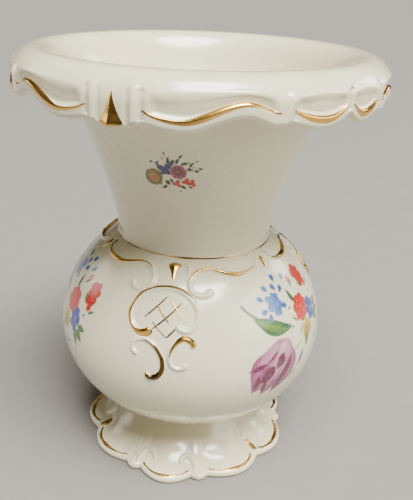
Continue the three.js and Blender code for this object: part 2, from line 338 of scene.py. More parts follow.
def lip_fold(theta):
    """Pattern angle for any angle: interpolated back from the wedge on the left or on the right."""
    past = np.mod(theta - RIM_CENTRE, 360 / REPEATS)
    right = np.interp(past, LIP_RIGHT, LIP_PATTERN)
    left = np.interp(360 / REPEATS - past, LIP_LEFT, LIP_PATTERN)
    return np.where(past < LIP_RIGHT[-1], right, left)


def on_lip(places, turn):
    """Places of a line in pattern angles, positive to the wedge's right, moved to where they fall."""
    moved = []
    for angle, z in places:
        side = LIP_RIGHT if angle > 0 else LIP_LEFT
        past = math.copysign(np.interp(abs(angle), LIP_PATTERN, side), angle)
        moved.append((RIM_CENTRE + turn + past, z))
    return moved


def skirt_share(z):
    """How much of the edge's lift a height takes: all of it on the bead, none near the crest."""
    return 1 - ease(z, SKIRT_Z + 5, HEIGHT - 3)


def skirt_relief(angle, z):
    """How far the skirt stands proud of its plain section: dishes below zero, ribs and folds above."""
    long_top = SKIRT_Z + 13.5 + 1.5 * np.sin(np.pi * np.clip((angle - 9) / 32, 0, 1))
    short_top = SKIRT_Z + 11.5 + 3 * np.sin(np.pi * np.clip((angle - 44.5) / 15.5, 0, 1))
    long_span = ease(angle, 8.6, 11.5) * (1 - ease(angle, 38, 41.5))
    short_span = ease(angle, 45, 47) * (1 - ease(angle, 57, 59.2))
    floor = ease(z, GOLD_Z + 0.2, GOLD_Z + 2.4)
    deeper_low = 1.25 - 0.5 * ease(z, GOLD_Z, SKIRT_Z + 14)
    dishes = long_span * (1 - ease(z, long_top - 4.5, long_top)) * 1.25
    dishes += short_span * (1 - ease(z, short_top - 3.5, short_top)) * 1.35
    crowns = long_span * bump(z, long_top + 0.7, 0.9) * 0.25
    crowns += short_span * bump(z, short_top + 0.7, 0.9) * 0.5
    upright = ease(z, SKIRT_Z + 0.5, SKIRT_Z + 2.5) * (1 - ease(z, SKIRT_Z + 14, SKIRT_Z + 16))
    ribs = bump(angle, 5.6, 0.8) * 0.9 - bump(angle, 3.9, 0.6) * 0.4 - bump(angle, 7.6, 0.7) * 0.8
    lean = z - SKIRT_Z
    fold_line = bump(angle, 42.6 + 0.14 * lean, 1.2) * 0.9 - bump(angle, 44.9 + 0.1 * lean, 0.8) * 0.5
    notch = -bump(angle, 60, 0.9) * 0.9
    knobs = bump(angle, 5.6, 1.1) * bump(z, SKIRT_Z + 16, 1.3)
    knobs += bump(angle, 60, 1.1) * bump(z, SKIRT_Z + 15.5, 1.2)
    return crowns - dishes * floor * deeper_low + (ribs + fold_line + notch) * upright + 0.8 * knobs


def skirt_surface(theta, z):
    """Outer face of the skirt: ellipse above its widest ring, upright below, bead at the edge."""
    angle = lip_fold(theta)
    over = np.clip((z - SKIRT_TOP_Z) / (HEIGHT - SKIRT_TOP_Z), 0, 1)
    r = CREST_R + (SKIRT_R - CREST_R) * np.sqrt(1 - over**2)
    r = r + skirt_relief(angle, z) * (1 - ease(z, HEIGHT - 5, HEIGHT - 2))
    return around(theta, r, z + scallop(angle, SKIRT_EDGE) * skirt_share(z))


# %% Build the lip as one ring
RIM_COLUMNS = 840


def bezier(a, b, c, d, count):
    """Cubic Bezier curve through count points from a to d, with handles b and c."""
    t = np.linspace(0, 1, count)[:, None]
    a, b, c, d = (np.array(p, float) for p in (a, b, c, d))
    return a * (1 - t) ** 3 + 3 * b * t * (1 - t) ** 2 + 3 * c * t**2 * (1 - t) + d * t**3


def lip_grid():
    """Inside up to the crest, outer face down to the bead, round the bead and back up underneath."""
    theta = np.linspace(-180, 180, RIM_COLUMNS, endpoint=False)
    lift = scallop(lip_fold(theta), SKIRT_EDGE)
    inside = bezier(
        (NECK_TOP_R - WALL, NECK_TOP_Z), (NECK_TOP_R - WALL + 4.5, NECK_TOP_Z + 9),
        (CREST_R - 9, HEIGHT), (CREST_R, HEIGHT), 26,
    )
    over_z = HEIGHT - (HEIGHT - SKIRT_TOP_Z) * (1 - np.cos(np.linspace(0.06, np.pi / 2, 26)))
    face_z = np.concatenate([over_z, np.linspace(SKIRT_TOP_Z, SKIRT_Z + BEAD_R, 20)[1:]])
    face = skirt_surface(theta[None, :], face_z[:, None])
    turn = np.radians(np.linspace(-12, -172, 14))[:, None, None]
    bead_r = SKIRT_R - BEAD_R + BEAD_R * np.cos(turn[..., 0])
    bead_z = SKIRT_Z + BEAD_R + BEAD_R * np.sin(turn[..., 0])
    bead = around(theta[None, :], bead_r, bead_z + lift[None, :])
    under = bezier(
        (SKIRT_R - 2 * BEAD_R, SKIRT_Z + BEAD_R + 1), (SKIRT_R - 2 * BEAD_R - 0.5, SKIRT_Z + 13),
        (NECK_TOP_R + 9, NECK_TOP_Z + 8), (NECK_TOP_R, NECK_TOP_Z), 18,
    )
    under_share = ease(under[:, :1], NECK_TOP_R + 4, SKIRT_R - 3 * BEAD_R)
    under_z = under[:, 1:] + lift[None, :] * under_share * 0.9
    below = around(theta[None, :], under[:, :1], np.minimum(under_z, under[:, 1:] + 5))
    return np.concatenate([spin(inside, RIM_COLUMNS), face, bead, below])


lip = skin("rolled_lip", lip_grid(), ring=True)
print(f"lip {len(lip.data.polygons)} faces, widest radius {SKIRT_R:.1f} mm")

# %% [markdown]
# ## The foot
#
# The foot spreads like a trumpet to a lobed edge with a soft bead, and it is hollow underneath, which
# keeps the wall even so that it doesn't crack in the kiln. Its place along the flare is counted from 0
# at the bowl to 1 at the bead, because near the edge the surface is almost flat and a height would say
# little.

# %% Foot surface and solid
FOOT_COLUMNS = 720
FOOT_RING_R = 0.2618 * HEIGHT  # mean outer radius
FOOT_BEAD = 1.9
FOOT_EDGE = [
    (0, 4.2, "round"), (15, -1.4, "notch"), (19.5, 0.7, "round"), (24.5, -1.6, "notch"), (43, 2.5, "round"),
    (60, -2, "notch"),
]
FLARE = [
    (0, 0, 1), (0.17, 0.09, 0.85), (0.35, 0.22, 0.66), (0.52, 0.38, 0.48), (0.7, 0.58, 0.31),
    (0.86, 0.8, 0.2), (1, 1, 0.17),
]


def flare(down):
    """Radius and height along the flare, joined smoothly through its few (place, spread, height) knots."""
    place, spread, rise = np.array(FLARE).T
    smooth = np.linspace(-0.06, 0.06, 7)
    soft = np.clip(np.asarray(down)[..., None] + smooth, 0, 1)
    spread = np.interp(soft, place, spread).mean(-1)
    rise = np.interp(soft, place, rise).mean(-1)
    foot_r = float(bowl_radius(np.array(FOOT_TOP_Z)))
    return foot_r + (FOOT_RING_R - FOOT_BEAD - foot_r) * spread, FOOT_TOP_Z * rise


def foot_surface(theta, down):
    """The flare, pushed in and out by the lobes near its edge, with each lobe dished a little."""
    angle = fold(theta)
    r, z = flare(down)
    r = r + scallop(angle, FOOT_EDGE) * ease(down, 0.3, 1)
    lobes = ease(angle, 25, 31) * (1 - ease(angle, 53, 59)) + 1 - ease(angle, 9, 14)
    dish = lobes * ease(down, 0.6, 0.78) * (1 - ease(down, 0.945, 1.0))
    folds = bump(angle, 19.5, 2.0) * ease(down, 0.6, 0.9) + bump(angle, 60, 2.2) * ease(down, 0.3, 0.6)
    return around(theta, r, z - dish * 0.9 + folds * 0.5)


def foot_grid():
    """Flare down to the edge, round the bead, across the flat ring, and up inside the hollow."""
    theta = np.linspace(-180, 180, FOOT_COLUMNS, endpoint=False)[None, :]
    lobes = scallop(fold(theta), FOOT_EDGE)
    face = foot_surface(theta, np.linspace(0, 1, 56)[:, None])
    top_r, top_z = flare(np.array(1.0))
    turn = np.radians(np.linspace(75, -80, 16))[:, None]
    bead_r = top_r - 0.4 + FOOT_BEAD * np.cos(turn)
    bead = around(theta, bead_r + lobes, top_z / 2 * (1 + np.sin(turn)))
    ring_r = np.linspace(FOOT_RING_R - 3.4, FOOT_RING_R - 9, 5)[:, None]
    lobed_r = ring_r + lobes * ease(ring_r, FOOT_RING_R - 9, FOOT_RING_R - 3)
    flat = around(theta, lobed_r, np.zeros_like(ring_r))
    hollow = bezier((FOOT_RING_R - 9.8, 0.6), (FOOT_RING_R - 12, 7), (32, 12), (29.6, FOOT_TOP_Z), 22)
    return np.concatenate([face, bead, flat, spin(hollow, FOOT_COLUMNS)])


foot = skin("lobed_foot", foot_grid(), ring=True)
print(f"foot {len(foot.data.polygons)} faces, ring radius {FOOT_RING_R:.1f} mm")

# %% [markdown]
# ## Lines that lie on a surface
#
# A scroll is modelled low relief, and gilding is liquid gold put on with a brush. Both are lines that
# follow the porcelain. They could be curves with a bevel, but a round wire would stand off the wall.
# Here a line is a smooth curve through a few (angle, height) places. It gets a width, and every point
# across it is looked up on the surface itself, so even on the scalloped lip it lies flush. Then a low
# profile is raised along the surface's own normal: a bell that melts into the glaze for relief, and a
# thin lens for gold.

# %% Smooth paths and ribbons on a surface
def smooth_path(places):
    """Catmull-Rom curve: each stretch is a cubic through its two ends, aimed by the places beyond them."""
    knots = np.array(places, float)
    knots = np.vstack([2 * knots[0] - knots[1], knots, 2 * knots[-1] - knots[-2]])
    at = np.linspace(0, len(places) - 1, 40 * len(places))
    k = np.minimum(at.astype(int), len(places) - 2)
    t = (at - k)[:, None]
    a, b, c, d = (knots[k + n] for n in range(4))
    return 0.5 * (2 * b + (c - a) * t + (2 * a - 5 * b + 4 * c - d) * t**2 + (3 * b - a - 3 * c + d) * t**3)


WALK_STEPS = 150


def walk(surface, places, start=0.0, stop=1.0):
    """Part of that curve in steps of even length, a little closer at its ends, and its length in mm."""
    curve = smooth_path(places)
    points = surface(curve[:, 0], curve[:, 1])
    run = np.concatenate([[0], np.cumsum(np.linalg.norm(np.diff(points, axis=0), axis=1))])
    s = np.linspace(0, 1, WALK_STEPS)
    s = 0.75 * s + 0.25 * (1 - np.cos(np.pi * s)) / 2
    share = start + (stop - start) * s
    path = np.column_stack([np.interp(share * run[-1], run, curve[:, n]) for n in (0, 1)])
    return path, s, (stop - start) * run[-1]


def frame_on(surface, theta, z):
    """Point, outward normal and the surface's two tangents per unit of angle and of height."""
    step = 0.02
    d_theta = (surface(theta + step, z) - surface(theta - step, z)) / (2 * step)
    d_z = (surface(theta, z + step) - surface(theta, z - step)) / (2 * step)
    normal = np.cross(d_theta, d_z)
    normal /= np.linalg.norm(normal, axis=-1, keepdims=True)
    outward = np.sign((normal * around(theta, 1.0, 0.3)).sum(-1, keepdims=True))
    return surface(theta, z), normal * outward, d_theta, d_z


def sideways(surface, path):
    """Unit step to the left of the path, in degrees and height per millimetre."""
    _, normal, d_theta, d_z = frame_on(surface, path[:, 0], path[:, 1])
    along = surface(*(path + np.gradient(path, axis=0) * 0.01).T) - surface(*path.T)
    side = np.cross(normal, along / np.linalg.norm(along, axis=1, keepdims=True))
    mixed = (d_theta * d_z).sum(-1)
    gram = np.stack([(d_theta**2).sum(-1), mixed, mixed, (d_z**2).sum(-1)], -1).reshape(-1, 2, 2)
    pull = np.stack([(side * d_theta).sum(-1), (side * d_z).sum(-1)], -1)
    return np.linalg.solve(gram, pull[..., None])[..., 0]


def round_ends(s, length, width):
    """Half-circle ends: sqrt(1 - (1 - distance from the end / half width) squared), 1 in between."""
    reach = np.minimum(s, 1 - s) * length / (0.5 * width)
    return np.sqrt(1 - np.clip(1 - reach, 0, 1) ** 2)


def flat_ground(share, offset):
    """The plain wall: no relief anywhere."""
    return 0 * share * offset


SINK = 0.12  # a ribbon's back lies this far inside the wall


def ribbon(surface, path, s, width, crown, ground=flat_ground, shift=0.0, columns=22):
    """Grid of a closed ribbon: ground plus crown over its top, and a back just under the ground."""
    side = np.concatenate([np.linspace(-1, 1, columns), [0.6, 0, -0.6]])
    offset = shift + 0.5 * width[:, None] * side[None, :]
    step = sideways(surface, path)
    theta = path[:, :1] + step[:, :1] * offset
    points, normal, _, _ = frame_on(surface, theta, path[:, 1:] + step[:, 1:] * offset)
    height = np.where(np.arange(len(side)) < columns, crown(s[:, None], side[None, :]), -SINK)
    return points + normal * (ground(s[:, None], offset) + height)[..., None]


# %% [markdown]
# ## Relief scrolls
#
# Each scroll was modelled in the mould: a rounded ridge that swells along its run and often ends in a
# small bulb. Its section is a raised cosine, which leaves the wall without a step, so glaze seems to
# pool along its foot. The swelling is a short list of shares of the full width.

# %% Ridge swelling and the ridges of one repeat
RIDGE_WIDTH = 4.2
RIDGE_HEIGHT = 1.15


def swell(s, shares):
    """Joins (place along the line, share of full size) pairs with straight runs, softened a little."""
    at, size = np.array(shares).T
    soft = np.linspace(-0.03, 0.03, 5)
    return np.interp(np.clip(np.asarray(s)[..., None] + soft, 0, 1), at, size).mean(-1)


BULB_END = [(0, 0.35), (0.12, 0.75), (0.5, 1), (0.85, 0.9), (0.93, 1.15), (1, 1.3)]
BOTH_BULBS = [(0, 1.25), (0.06, 1.1), (0.14, 0.85), (0.5, 1), (0.86, 0.85), (0.94, 1.1), (1, 1.25)]

ARCH = [
    (-5.6, 98.6), (-7.7, 96.6), (-10.8, 96.6), (-14.4, 99.5), (-15.9, 104.5), (-13.2, 110.6), (-6.6, 113.8),
    (2.5, 114.4), (9.8, 111.9), (14.0, 107), (13.4, 101.6), (10.2, 98.7), (6.8, 99.2), (5.6, 101.2),
]
SHOULDER = [
    (50.4, 123.9), (53.2, 124.2), (54, 122), (49.5, 119.9), (38.6, 118.9), (30.9, 119.8), (21.5, 121.4),
    (14.2, 120.6), (10.0, 117.4), (11.2, 113.8), (15.6, 112.3), (19.6, 113.2), (20.6, 115.2),
]
LOWER_LEFT = [
    (-9.6, 85.4), (-11.9, 87.6), (-11.8, 90.7), (-8.6, 92.9), (-4.4, 91.9), (-1.3, 88.8), (0.5, 84.6),
    (0.5, 79.4), (-1.6, 75.8), (-4.2, 75.4), (-5.7, 77.2),
]
LOWER_RIGHT = [
    (11.9, 91.4), (12.3, 93.3), (10.6, 95), (8.2, 95.4), (5.6, 93.2), (3.8, 89.6), (3.4, 85.6), (4.4, 82.4),
    (7.2, 81.2), (9.3, 82.4), (9.2, 84.2),
]


def mirrored(places):
    return [(-theta, z) for theta, z in places]


def turned(places, turn):
    return [(theta + turn, z) for theta, z in places]


RIDGES = {
    "cartouche_arch": (ARCH, BOTH_BULBS, 1.0),
    "shoulder_scroll_right": (SHOULDER, BULB_END, 0.95),
    "shoulder_scroll_left": (mirrored(SHOULDER), BULB_END, 0.95),
    "lower_scroll_left": (LOWER_LEFT, BOTH_BULBS, 0.85),
    "lower_scroll_right": (LOWER_RIGHT, BOTH_BULBS, 0.85),
}

# %% Raise the ridges on the bowl
def ridge_width(share, shares, size):
    return RIDGE_WIDTH * size * swell(share, shares)


def ridge_height(share, offset, length, shares, size):
    """Raised cosine (1 + cos(pi x)) / 2 across the ridge, lower where it is narrow, round at its ends."""
    width = ridge_width(share, shares, size)
    ends = round_ends(share, length, width)
    across = np.clip(2 * offset / (width * np.maximum(ends, 0.02)), -1, 1)
    return RIDGE_HEIGHT * size * swell(share, shares) ** 0.8 * (0.5 + 0.5 * np.cos(np.pi * across)) * ends


def ridge_grid(surface, places, shares, size):
    """One relief ridge on a surface, with its edges a hair inside the wall."""
    path, s, length = walk(surface, places)
    width = ridge_width(s, shares, size)
    width = width * np.maximum(round_ends(s, length, width), 0.02)

    def crown(share, side):
        return ridge_height(share, 0.5 * width[:, None] * side, length, shares, size) - 0.02

    return ribbon(surface, path, s, width, crown)


BELL_PETAL = [(5.2, 122.6), (7.4, 122.7), (8.9, 121.6), (8.3, 119.8)]
PETAL_SHARES = [(0, 0.5), (0.5, 0.62), (1, 0.35)]

porcelain_pieces = {"bowl": bowl, "neck": neck, "rim": lip, "foot": foot}
extra_porcelain = []
for side_name, turn in SIDES.items():
    for ridge_name, (places, shares, size) in RIDGES.items():
        node = f"{ridge_name}_{side_name}"
        grid = ridge_grid(bowl_surface, turned(places, turn), shares, size)
        porcelain_pieces[node] = skin(f"relief_{node}", grid)
    petal = ridge_grid(bowl_surface, turned(BELL_PETAL, turn), PETAL_SHARES, 1.0)
    extra_porcelain.append(skin(f"relief_bell_petal_{side_name}", petal))
print(f"{len(porcelain_pieces) - 4} scrolls and {len(extra_porcelain)} petals in relief on the bowl")

# %% Raise the shell ridges on the foot
FOOT_SHELL = [(17.2, 0.97), (17.8, 0.86), (15.8, 0.74), (12.2, 0.68), (9.2, 0.71), (8.2, 0.77)]
SHELL_SHARES = [(0, 0.7), (0.2, 1.0), (0.6, 1.15), (0.85, 0.85), (1, 1.0)]
DASH_KNOB = [(60, 0.56), (60, 0.6), (60, 0.64)]

for side_name, turn in SIDES.items():
    shells = [ridge_grid(foot_surface, turned(places, turn), SHELL_SHARES, 1.0)
              for places in (FOOT_SHELL, mirrored(FOOT_SHELL))]
    knob = ridge_grid(foot_surface, turned(DASH_KNOB, turn), [(0, 0.9), (1, 0.9)], 1.0)
    extra_porcelain.append(skin(f"relief_foot_shell_{side_name}", *shells, knob))
print(f"{len(extra_porcelain)} small reliefs that belong to the bowl and the foot")

# %% [markdown]
# ## Gilding
#
# The gold is a liquid that a painter lays on the fired glaze with a fine brush, and a last firing turns
# it bright. A stroke starts thin, is fullest where the brush was pressed, and ends in a hair line, so
# each one is a path with a short list of how full the brush was. The gold has almost no thickness. It
# is a lens a fifth of a millimetre high, which is what lets its long highlights run dark at one side.
# Strokes over a scroll take the scroll's own height as their ground, and slide to the side of it on
# which the painter laid them.

# %% Brush strokes
GOLD_THICK = 0.2
BRUSH = 1.5  # the painter's brush, as a share of the widths listed for each stroke


def stroke(surface, places, width, loads, start=0.0, stop=1.0, ground=flat_ground, shift=0.0,
           lens=GOLD_THICK, power=2.0, square=False):
    """A stroke's grid: width times load along it, and a lens (1 - |x| to a power) across it."""
    path, s, length = walk(surface, places, start, stop)
    full = BRUSH * width * swell(s, loads)
    ends = np.ones_like(s) if square else np.maximum(round_ends(s, length, full), 0.05)

    def crown(share, side):
        fullness = np.minimum(1, swell(share, loads)) * ends[:, None]
        return 0.03 + lens * fullness * (1 - np.abs(side) ** power)

    return ribbon(surface, path, s, full * ends, crown, ground, shift, columns=15)


def stroke_on_ridge(surface, ridge, width, loads, start, stop, shift):
    """A stroke along part of a relief ridge, riding on the ridge's own height."""
    places, shares, size = ridge
    _, _, length = walk(surface, places)

    def ground(share, offset):
        return ridge_height(start + (stop - start) * share, offset, length, shares, size)

    return stroke(surface, places, width, loads, start, stop, ground, shift)


# %% Where the gold is painted dark, standing in for dark reflections
def store_painted_dark_reflection(piece, shares):
    """Stores one share of painted dark reflection, from 0 to 1, on each of the piece's points."""
    attribute = piece.data.attributes.new("painted_dark_reflection", "FLOAT", "POINT")
    attribute.data.foreach_set("value", np.clip(shares, 0, 1).ravel().astype(np.float32))


def painted_dark_reflection(piece, grids, dark_reflection_shares, right_face_painted_shade=0.0):
    """Stores how much painted dark reflection the gold gets at each point: (place along the stroke, share)
    pairs for each grid.
    """
    values = []
    for grid, along in zip(grids, dark_reflection_shares):
        rows, cols = grid.shape[:2]
        share = swell(np.linspace(0, 1, rows), along)
        across = right_face_painted_shade * (np.arange(cols) < cols // 2 - 1)
        values += [(share[:, None] + across).ravel(), share[[0, -1]]]
    store_painted_dark_reflection(piece, np.concatenate(values))


# painted dark reflections: how far each stroke is painted towards dark brown along its length, standing in
# for dark surroundings mirrored in the gold; EVEN is the faint share for strokes not listed
EVEN = [(0, 0.05), (1, 0.05)]
WEDGE_PAINTED_SHADE = 0.25  # extra painted shade on the right face of the lip's wedge
PAINTED_DARK_REFLECTIONS = {
    "cartouche_arch_gold": [
        [(0, 0.1), (0.1, 0.15), (0.18, 0.5), (0.26, 0.05), (0.5, 0.1), (0.62, 0.8), (0.9, 0.85), (1, 0.2)],
    ],
    "shoulder_gold_left": [[(0, 0.85), (0.2, 0.7), (0.3, 0.1), (0.8, 0.05), (1, 0.3)]],
    "lower_gold_left": [[(0, 0.8), (0.4, 0.9), (1, 0.95)]],
    "lower_gold_right": [[(0, 0.05), (0.14, 0.3), (0.25, 0.6), (0.6, 0.5), (1, 0.6)]],
    "bell_drop": [[(0, 0.55), (0.15, 0.3), (0.6, 0.2), (1, 0.0)]],
    "cartouche_lattice": [
        [(0, 0.3), (0.7, 0.35), (1, 0.8)], [(0, 0.7), (0.45, 0.85), (0.6, 0.0), (1, 0.1)],
        [(0, 0.9), (0.6, 0.8), (1, 0.9)], [(0, 0.0), (0.6, 0.05), (1, 0.0)],
        [(0, 0.8), (1, 0.9)], [(0, 0.9), (0.6, 0.85), (1, 0.7)],
    ],
    "rim_scallop_right": [[(0, 0.6), (0.35, 0.55), (0.5, 0.1), (0.8, 0.05), (1, 0.4)]],
    "rim_scallop_left": [[(0, 0.1), (0.35, 0.0), (0.6, 0.1), (0.85, 0.3), (1, 0.5)]],
    "foot_gold_centre": [[(0, 0.6), (0.3, 0.45), (0.5, 0.0), (1, 0.1)]],
    "foot_gold_left": [[(0, 0.1), (0.35, 0.0), (0.6, 0.2), (1, 0.7)]],
}

# %% Gold on the bowl
ARCH_LOADS = [
    (0, 2.0), (0.07, 2.3), (0.13, 1.3), (0.2, 0.95), (0.4, 1.1), (0.6, 0.75), (0.85, 0.7), (1, 0.25),
]
RIGHT_LOADS = [(0, 0.25), (0.08, 0.4), (0.25, 1.25), (0.42, 1.5), (0.6, 0.9), (0.8, 0.8), (1, 0.3)]
LEFT_LOADS = [(0, 0.25), (0.1, 0.45), (0.3, 1.1), (0.42, 1.7), (0.62, 1.2), (0.85, 0.6), (1, 0.2)]
CURL_LOADS = [(0, 0.2), (0.2, 0.6), (0.45, 0.95), (0.7, 1.25), (0.85, 1.6), (0.95, 1.1), (1, 0.5)]
HOOK_LOADS = [(0, 1.5), (0.12, 1.7), (0.4, 1.6), (0.65, 0.9), (0.85, 0.5), (1, 0.2)]
BELL = [(0.0, 123.3), (0.1, 121.9), (0.3, 120.2), (0.5, 117.6)]
BELL_LOADS = [(0, 1.0), (0.12, 1.0), (0.3, 0.66), (0.5, 0.42), (0.75, 0.24), (1, 0.12)]
TICK = [(60, 122.8), (59.4, 120.7), (58.8, 118.6)]
TICK_LOADS = [(0, 0.7), (0.4, 1), (0.8, 0.8), (1, 0.4)]
LATTICE = [
    [(-9.3, 102.2), (-4.9, 106.9), (-0.5, 111.6)], [(-4.9, 97.9), (1, 103.9), (6.8, 109.9)],
    [(1.4, 95), (3.8, 98), (6.1, 100.9)], [(1.2, 110.8), (4.3, 107.1), (7.4, 103.4)],
    [(-4.4, 107.6), (-2.6, 105.8), (2, 101)], [(-5.4, 101.1), (-2, 98.1), (1.4, 95)],
]
LATTICE_LOADS = [(0, 0.5), (0.2, 1), (0.8, 0.85), (1, 0.5)]

gold_pieces = {}


def on_wall(places, width, loads, **shape):
    return stroke(bowl_surface, places, width, loads, **shape)


def gild(strokes, side_name):
    """Makes one gilt piece of each named list of strokes, with its places of painted dark reflection."""
    for stroke_name, grids in strokes.items():
        piece = skin(f"gilt_{stroke_name}_{side_name}", *grids)
        # the wedge's right face takes extra painted shade
        shade = WEDGE_PAINTED_SHADE if stroke_name == "rim_wedge" else 0.0
        painted_dark_reflection(piece, grids, PAINTED_DARK_REFLECTIONS.get(stroke_name, [EVEN] * len(grids)), shade)
        gold_pieces[f"{stroke_name}_{side_name}"] = piece


for side_name, turn in SIDES.items():
    arch, right, left, lower_left, lower_right = (
        (turned(places, turn), shares, size) for places, shares, size in RIDGES.values()
    )
    strokes = {
        "cartouche_arch_gold": [stroke_on_ridge(bowl_surface, arch, 1.25, ARCH_LOADS, 0.0, 0.72, 0.7)],
        "shoulder_gold_right": [stroke_on_ridge(bowl_surface, right, 1.2, RIGHT_LOADS, 0.17, 0.74, -0.3)],
        "shoulder_gold_left": [stroke_on_ridge(bowl_surface, left, 1.2, LEFT_LOADS, 0.05, 0.66, 0.3)],
        "lower_gold_left": [stroke_on_ridge(bowl_surface, lower_left, 1.35, CURL_LOADS, 0.3, 1.0, 0.1)],
        "lower_gold_right": [stroke_on_ridge(bowl_surface, lower_right, 1.2, HOOK_LOADS, 0.0, 0.6, 0.1)],
        "bell_drop": [on_wall(turned(BELL, turn), 5.6, BELL_LOADS, lens=1.4, power=1.6)],
        "shoulder_tick": [on_wall(turned(TICK, turn), 1.7, TICK_LOADS)],
        "cartouche_lattice": [on_wall(turned(line, turn), 0.6, LATTICE_LOADS) for line in LATTICE],
    }
    gild(strokes, side_name)

# %% Gold line round the waist
def waist_line():
    """A half-round line of gold where the neck meets the shoulder, uneven as brush lines are."""
    theta = np.linspace(-180, 180, ROUND, endpoint=False)[:, None]
    turn = np.radians(np.linspace(0, 360, 14, endpoint=False))[None, :]
    uneven = 1 + 0.18 * np.sin(np.radians(5 * theta + 40)) + 0.12 * np.sin(np.radians(11 * theta))
    z = WAIST_Z - 0.45
    r = float(bowl_radius(np.array(z)))
    return around(theta, r + 0.36 * uneven * np.cos(turn), z + 0.62 * uneven * np.sin(turn))


line = waist_line()
waist_gilt = skin("gilt_waist_line", line, ring=True)
# painted dark reflections: bands that take the waist line's gold towards dark brown
bearing = np.degrees(np.arctan2(line[..., 0], -line[..., 1]))
painted_dark_bands = 0.5 + 0.5 * np.sin(np.radians(6 * bearing - 30)) + 0.3 * np.sin(np.radians(17 * bearing))
store_painted_dark_reflection(waist_gilt, painted_dark_bands)
gold_pieces["waist_gold_line"] = waist_gilt

# %% Gold on the lip and the foot
WEDGE = [(0, 199.8), (0, 203), (0, 207), (0, 212)]
WEDGE_LOADS = [(0, 1.06), (0.1, 0.96), (0.35, 0.6), (0.7, 0.25), (1, 0.05)]
SCALLOP = [
    (7.6, 203.7), (11, 202.7), (17, 202.3), (23, 202.9),
    (28, 203.4), (34, 203.8), (38.5, 203.9), (41.6, 203.9),
]
SCALLOP_LOADS = [(0, 0.25), (0.25, 0.55), (0.45, 1.0), (0.6, 1.15), (0.8, 0.8), (1, 0.25)]
SWAG = [(44.6, 203.4), (48.5, 202.5), (52.5, 202.2), (56, 202.4), (59, 203.2)]
SWAG_LOADS = [(0, 0.3), (0.3, 1.0), (0.6, 1.15), (0.85, 0.7), (1, 0.3)]
LOBE_LOADS = [(0, 0.25), (0.2, 0.6), (0.5, 1.1), (0.8, 0.6), (1, 0.25)]
CENTRE_LOBE = [(-14, 0.95), (-8, 0.97), (0, 0.975), (8, 0.97), (14, 0.95)]
SIDE_LOBE = [(25.5, 0.95), (31, 0.965), (42, 0.975), (51, 0.96), (56.5, 0.91)]
DASH = [(61, 0.72), (61, 0.84), (61, 0.98)]
DASH_LOADS = [(0, 0.8), (0.4, 1), (0.8, 0.9), (1, 0.6)]


def on_skirt(places, width, loads, lens=0.4, **shape):
    return stroke(skirt_surface, places, width, loads, lens=lens, **shape)


def on_foot(places, width, loads, **shape):
    return stroke(foot_surface, places, width, loads, **shape)


for side_name, turn in SIDES.items():
    wedge = on_skirt(on_lip(WEDGE, turn), 6.6, WEDGE_LOADS, lens=3.2, power=1.1, square=True)
    swags = [on_lip(SWAG, turn), on_lip(mirrored(SWAG), turn + 360 / REPEATS)]
    strokes = {
        "rim_wedge": [wedge],
        "rim_scallop_right": [on_skirt(on_lip(SCALLOP, turn), 1.9, SCALLOP_LOADS)],
        "rim_scallop_left": [on_skirt(on_lip(mirrored(SCALLOP), turn), 1.9, SCALLOP_LOADS)],
        "rim_swag": [on_skirt(line, 1.8, SWAG_LOADS) for line in swags],
        "foot_gold_centre": [on_foot(turned(CENTRE_LOBE, turn), 2.1, LOBE_LOADS)],
        "foot_gold_right": [on_foot(turned(SIDE_LOBE, turn), 2.1, LOBE_LOADS)],
        "foot_gold_left": [on_foot(turned(mirrored(SIDE_LOBE), turn), 2.1, LOBE_LOADS)],
        "foot_dash": [on_foot(turned(DASH, turn), 2.3, DASH_LOADS, lens=0.3)],
    }
    gild(strokes, side_name)
print(f"{len(gold_pieces)} gilt pieces")

# %% [markdown]
# ## The printed flower sprays
#
# The flowers are transfers: prints in ceramic colour on a thin film, slid wet onto the glaze and fired
# on. They could be painted as an image, but an image can't be changed by a number. So the sprays are
# painted with numpy on a flat sheet of points. Each petal, leaf and stem is a soft-edged mask and a
# colour that runs along or across it, laid over what is there already, as a printer lays one tint on
# another. Then the inked part of the sheet is bent round the vase and becomes a very thin closed piece
# that carries its ink as a colour attribute, with the coverage as its alpha.

# %% A flat sheet and soft brushes
def blank_sheet(left, right, low, high, step):
    """A grid of points in millimetres, with ink and cover at zero and the width of its softest edge."""
    x, y = np.meshgrid(np.arange(left, right, step), np.arange(low, high, step))
    return {"x": x, "y": y, "ink": np.zeros((*x.shape, 3)), "cover": np.zeros(x.shape), "edge": 2.2 * step}


def lay(sheet, mask, colour):
    """Lays ink of a colour (0 to 255) over the sheet: out = ink m + below (1 - m), for ink and for cover."""
    ink = np.asarray(colour, float) / 255
    below = sheet["cover"] * (1 - mask)
    sheet["cover"] = mask + below
    total = np.maximum(sheet["cover"], 1e-4)[..., None]
    sheet["ink"] = (ink * mask[..., None] + sheet["ink"] * below[..., None]) / total


def local(sheet, x, y, degrees):
    """Distances along and across a direction, counted from a point."""
    c, s = math.cos(math.radians(degrees)), math.sin(math.radians(degrees))
    dx, dy = sheet["x"] - x, sheet["y"] - y
    return dx * c + dy * s, dy * c - dx * s


def tint(low, high, share):
    """Colour between two, where the share is a whole array."""
    low, high = np.array(low, float), np.array(high, float)
    return low + (high - low) * np.clip(share, 0, 1)[..., None]


def oval(sheet, x, y, length, width, degrees, inner, outer, strength=1.0, soft=None):
    """An oval of half axes length and width, inner colour in the middle and outer colour at its rim."""
    along, across = local(sheet, x, y, degrees)
    reach = np.hypot(along / length, across / width)
    mask = ease((1 - reach) * min(length, width), 0, soft or sheet["edge"])
    lay(sheet, strength * mask, tint(inner, outer, reach**1.5))


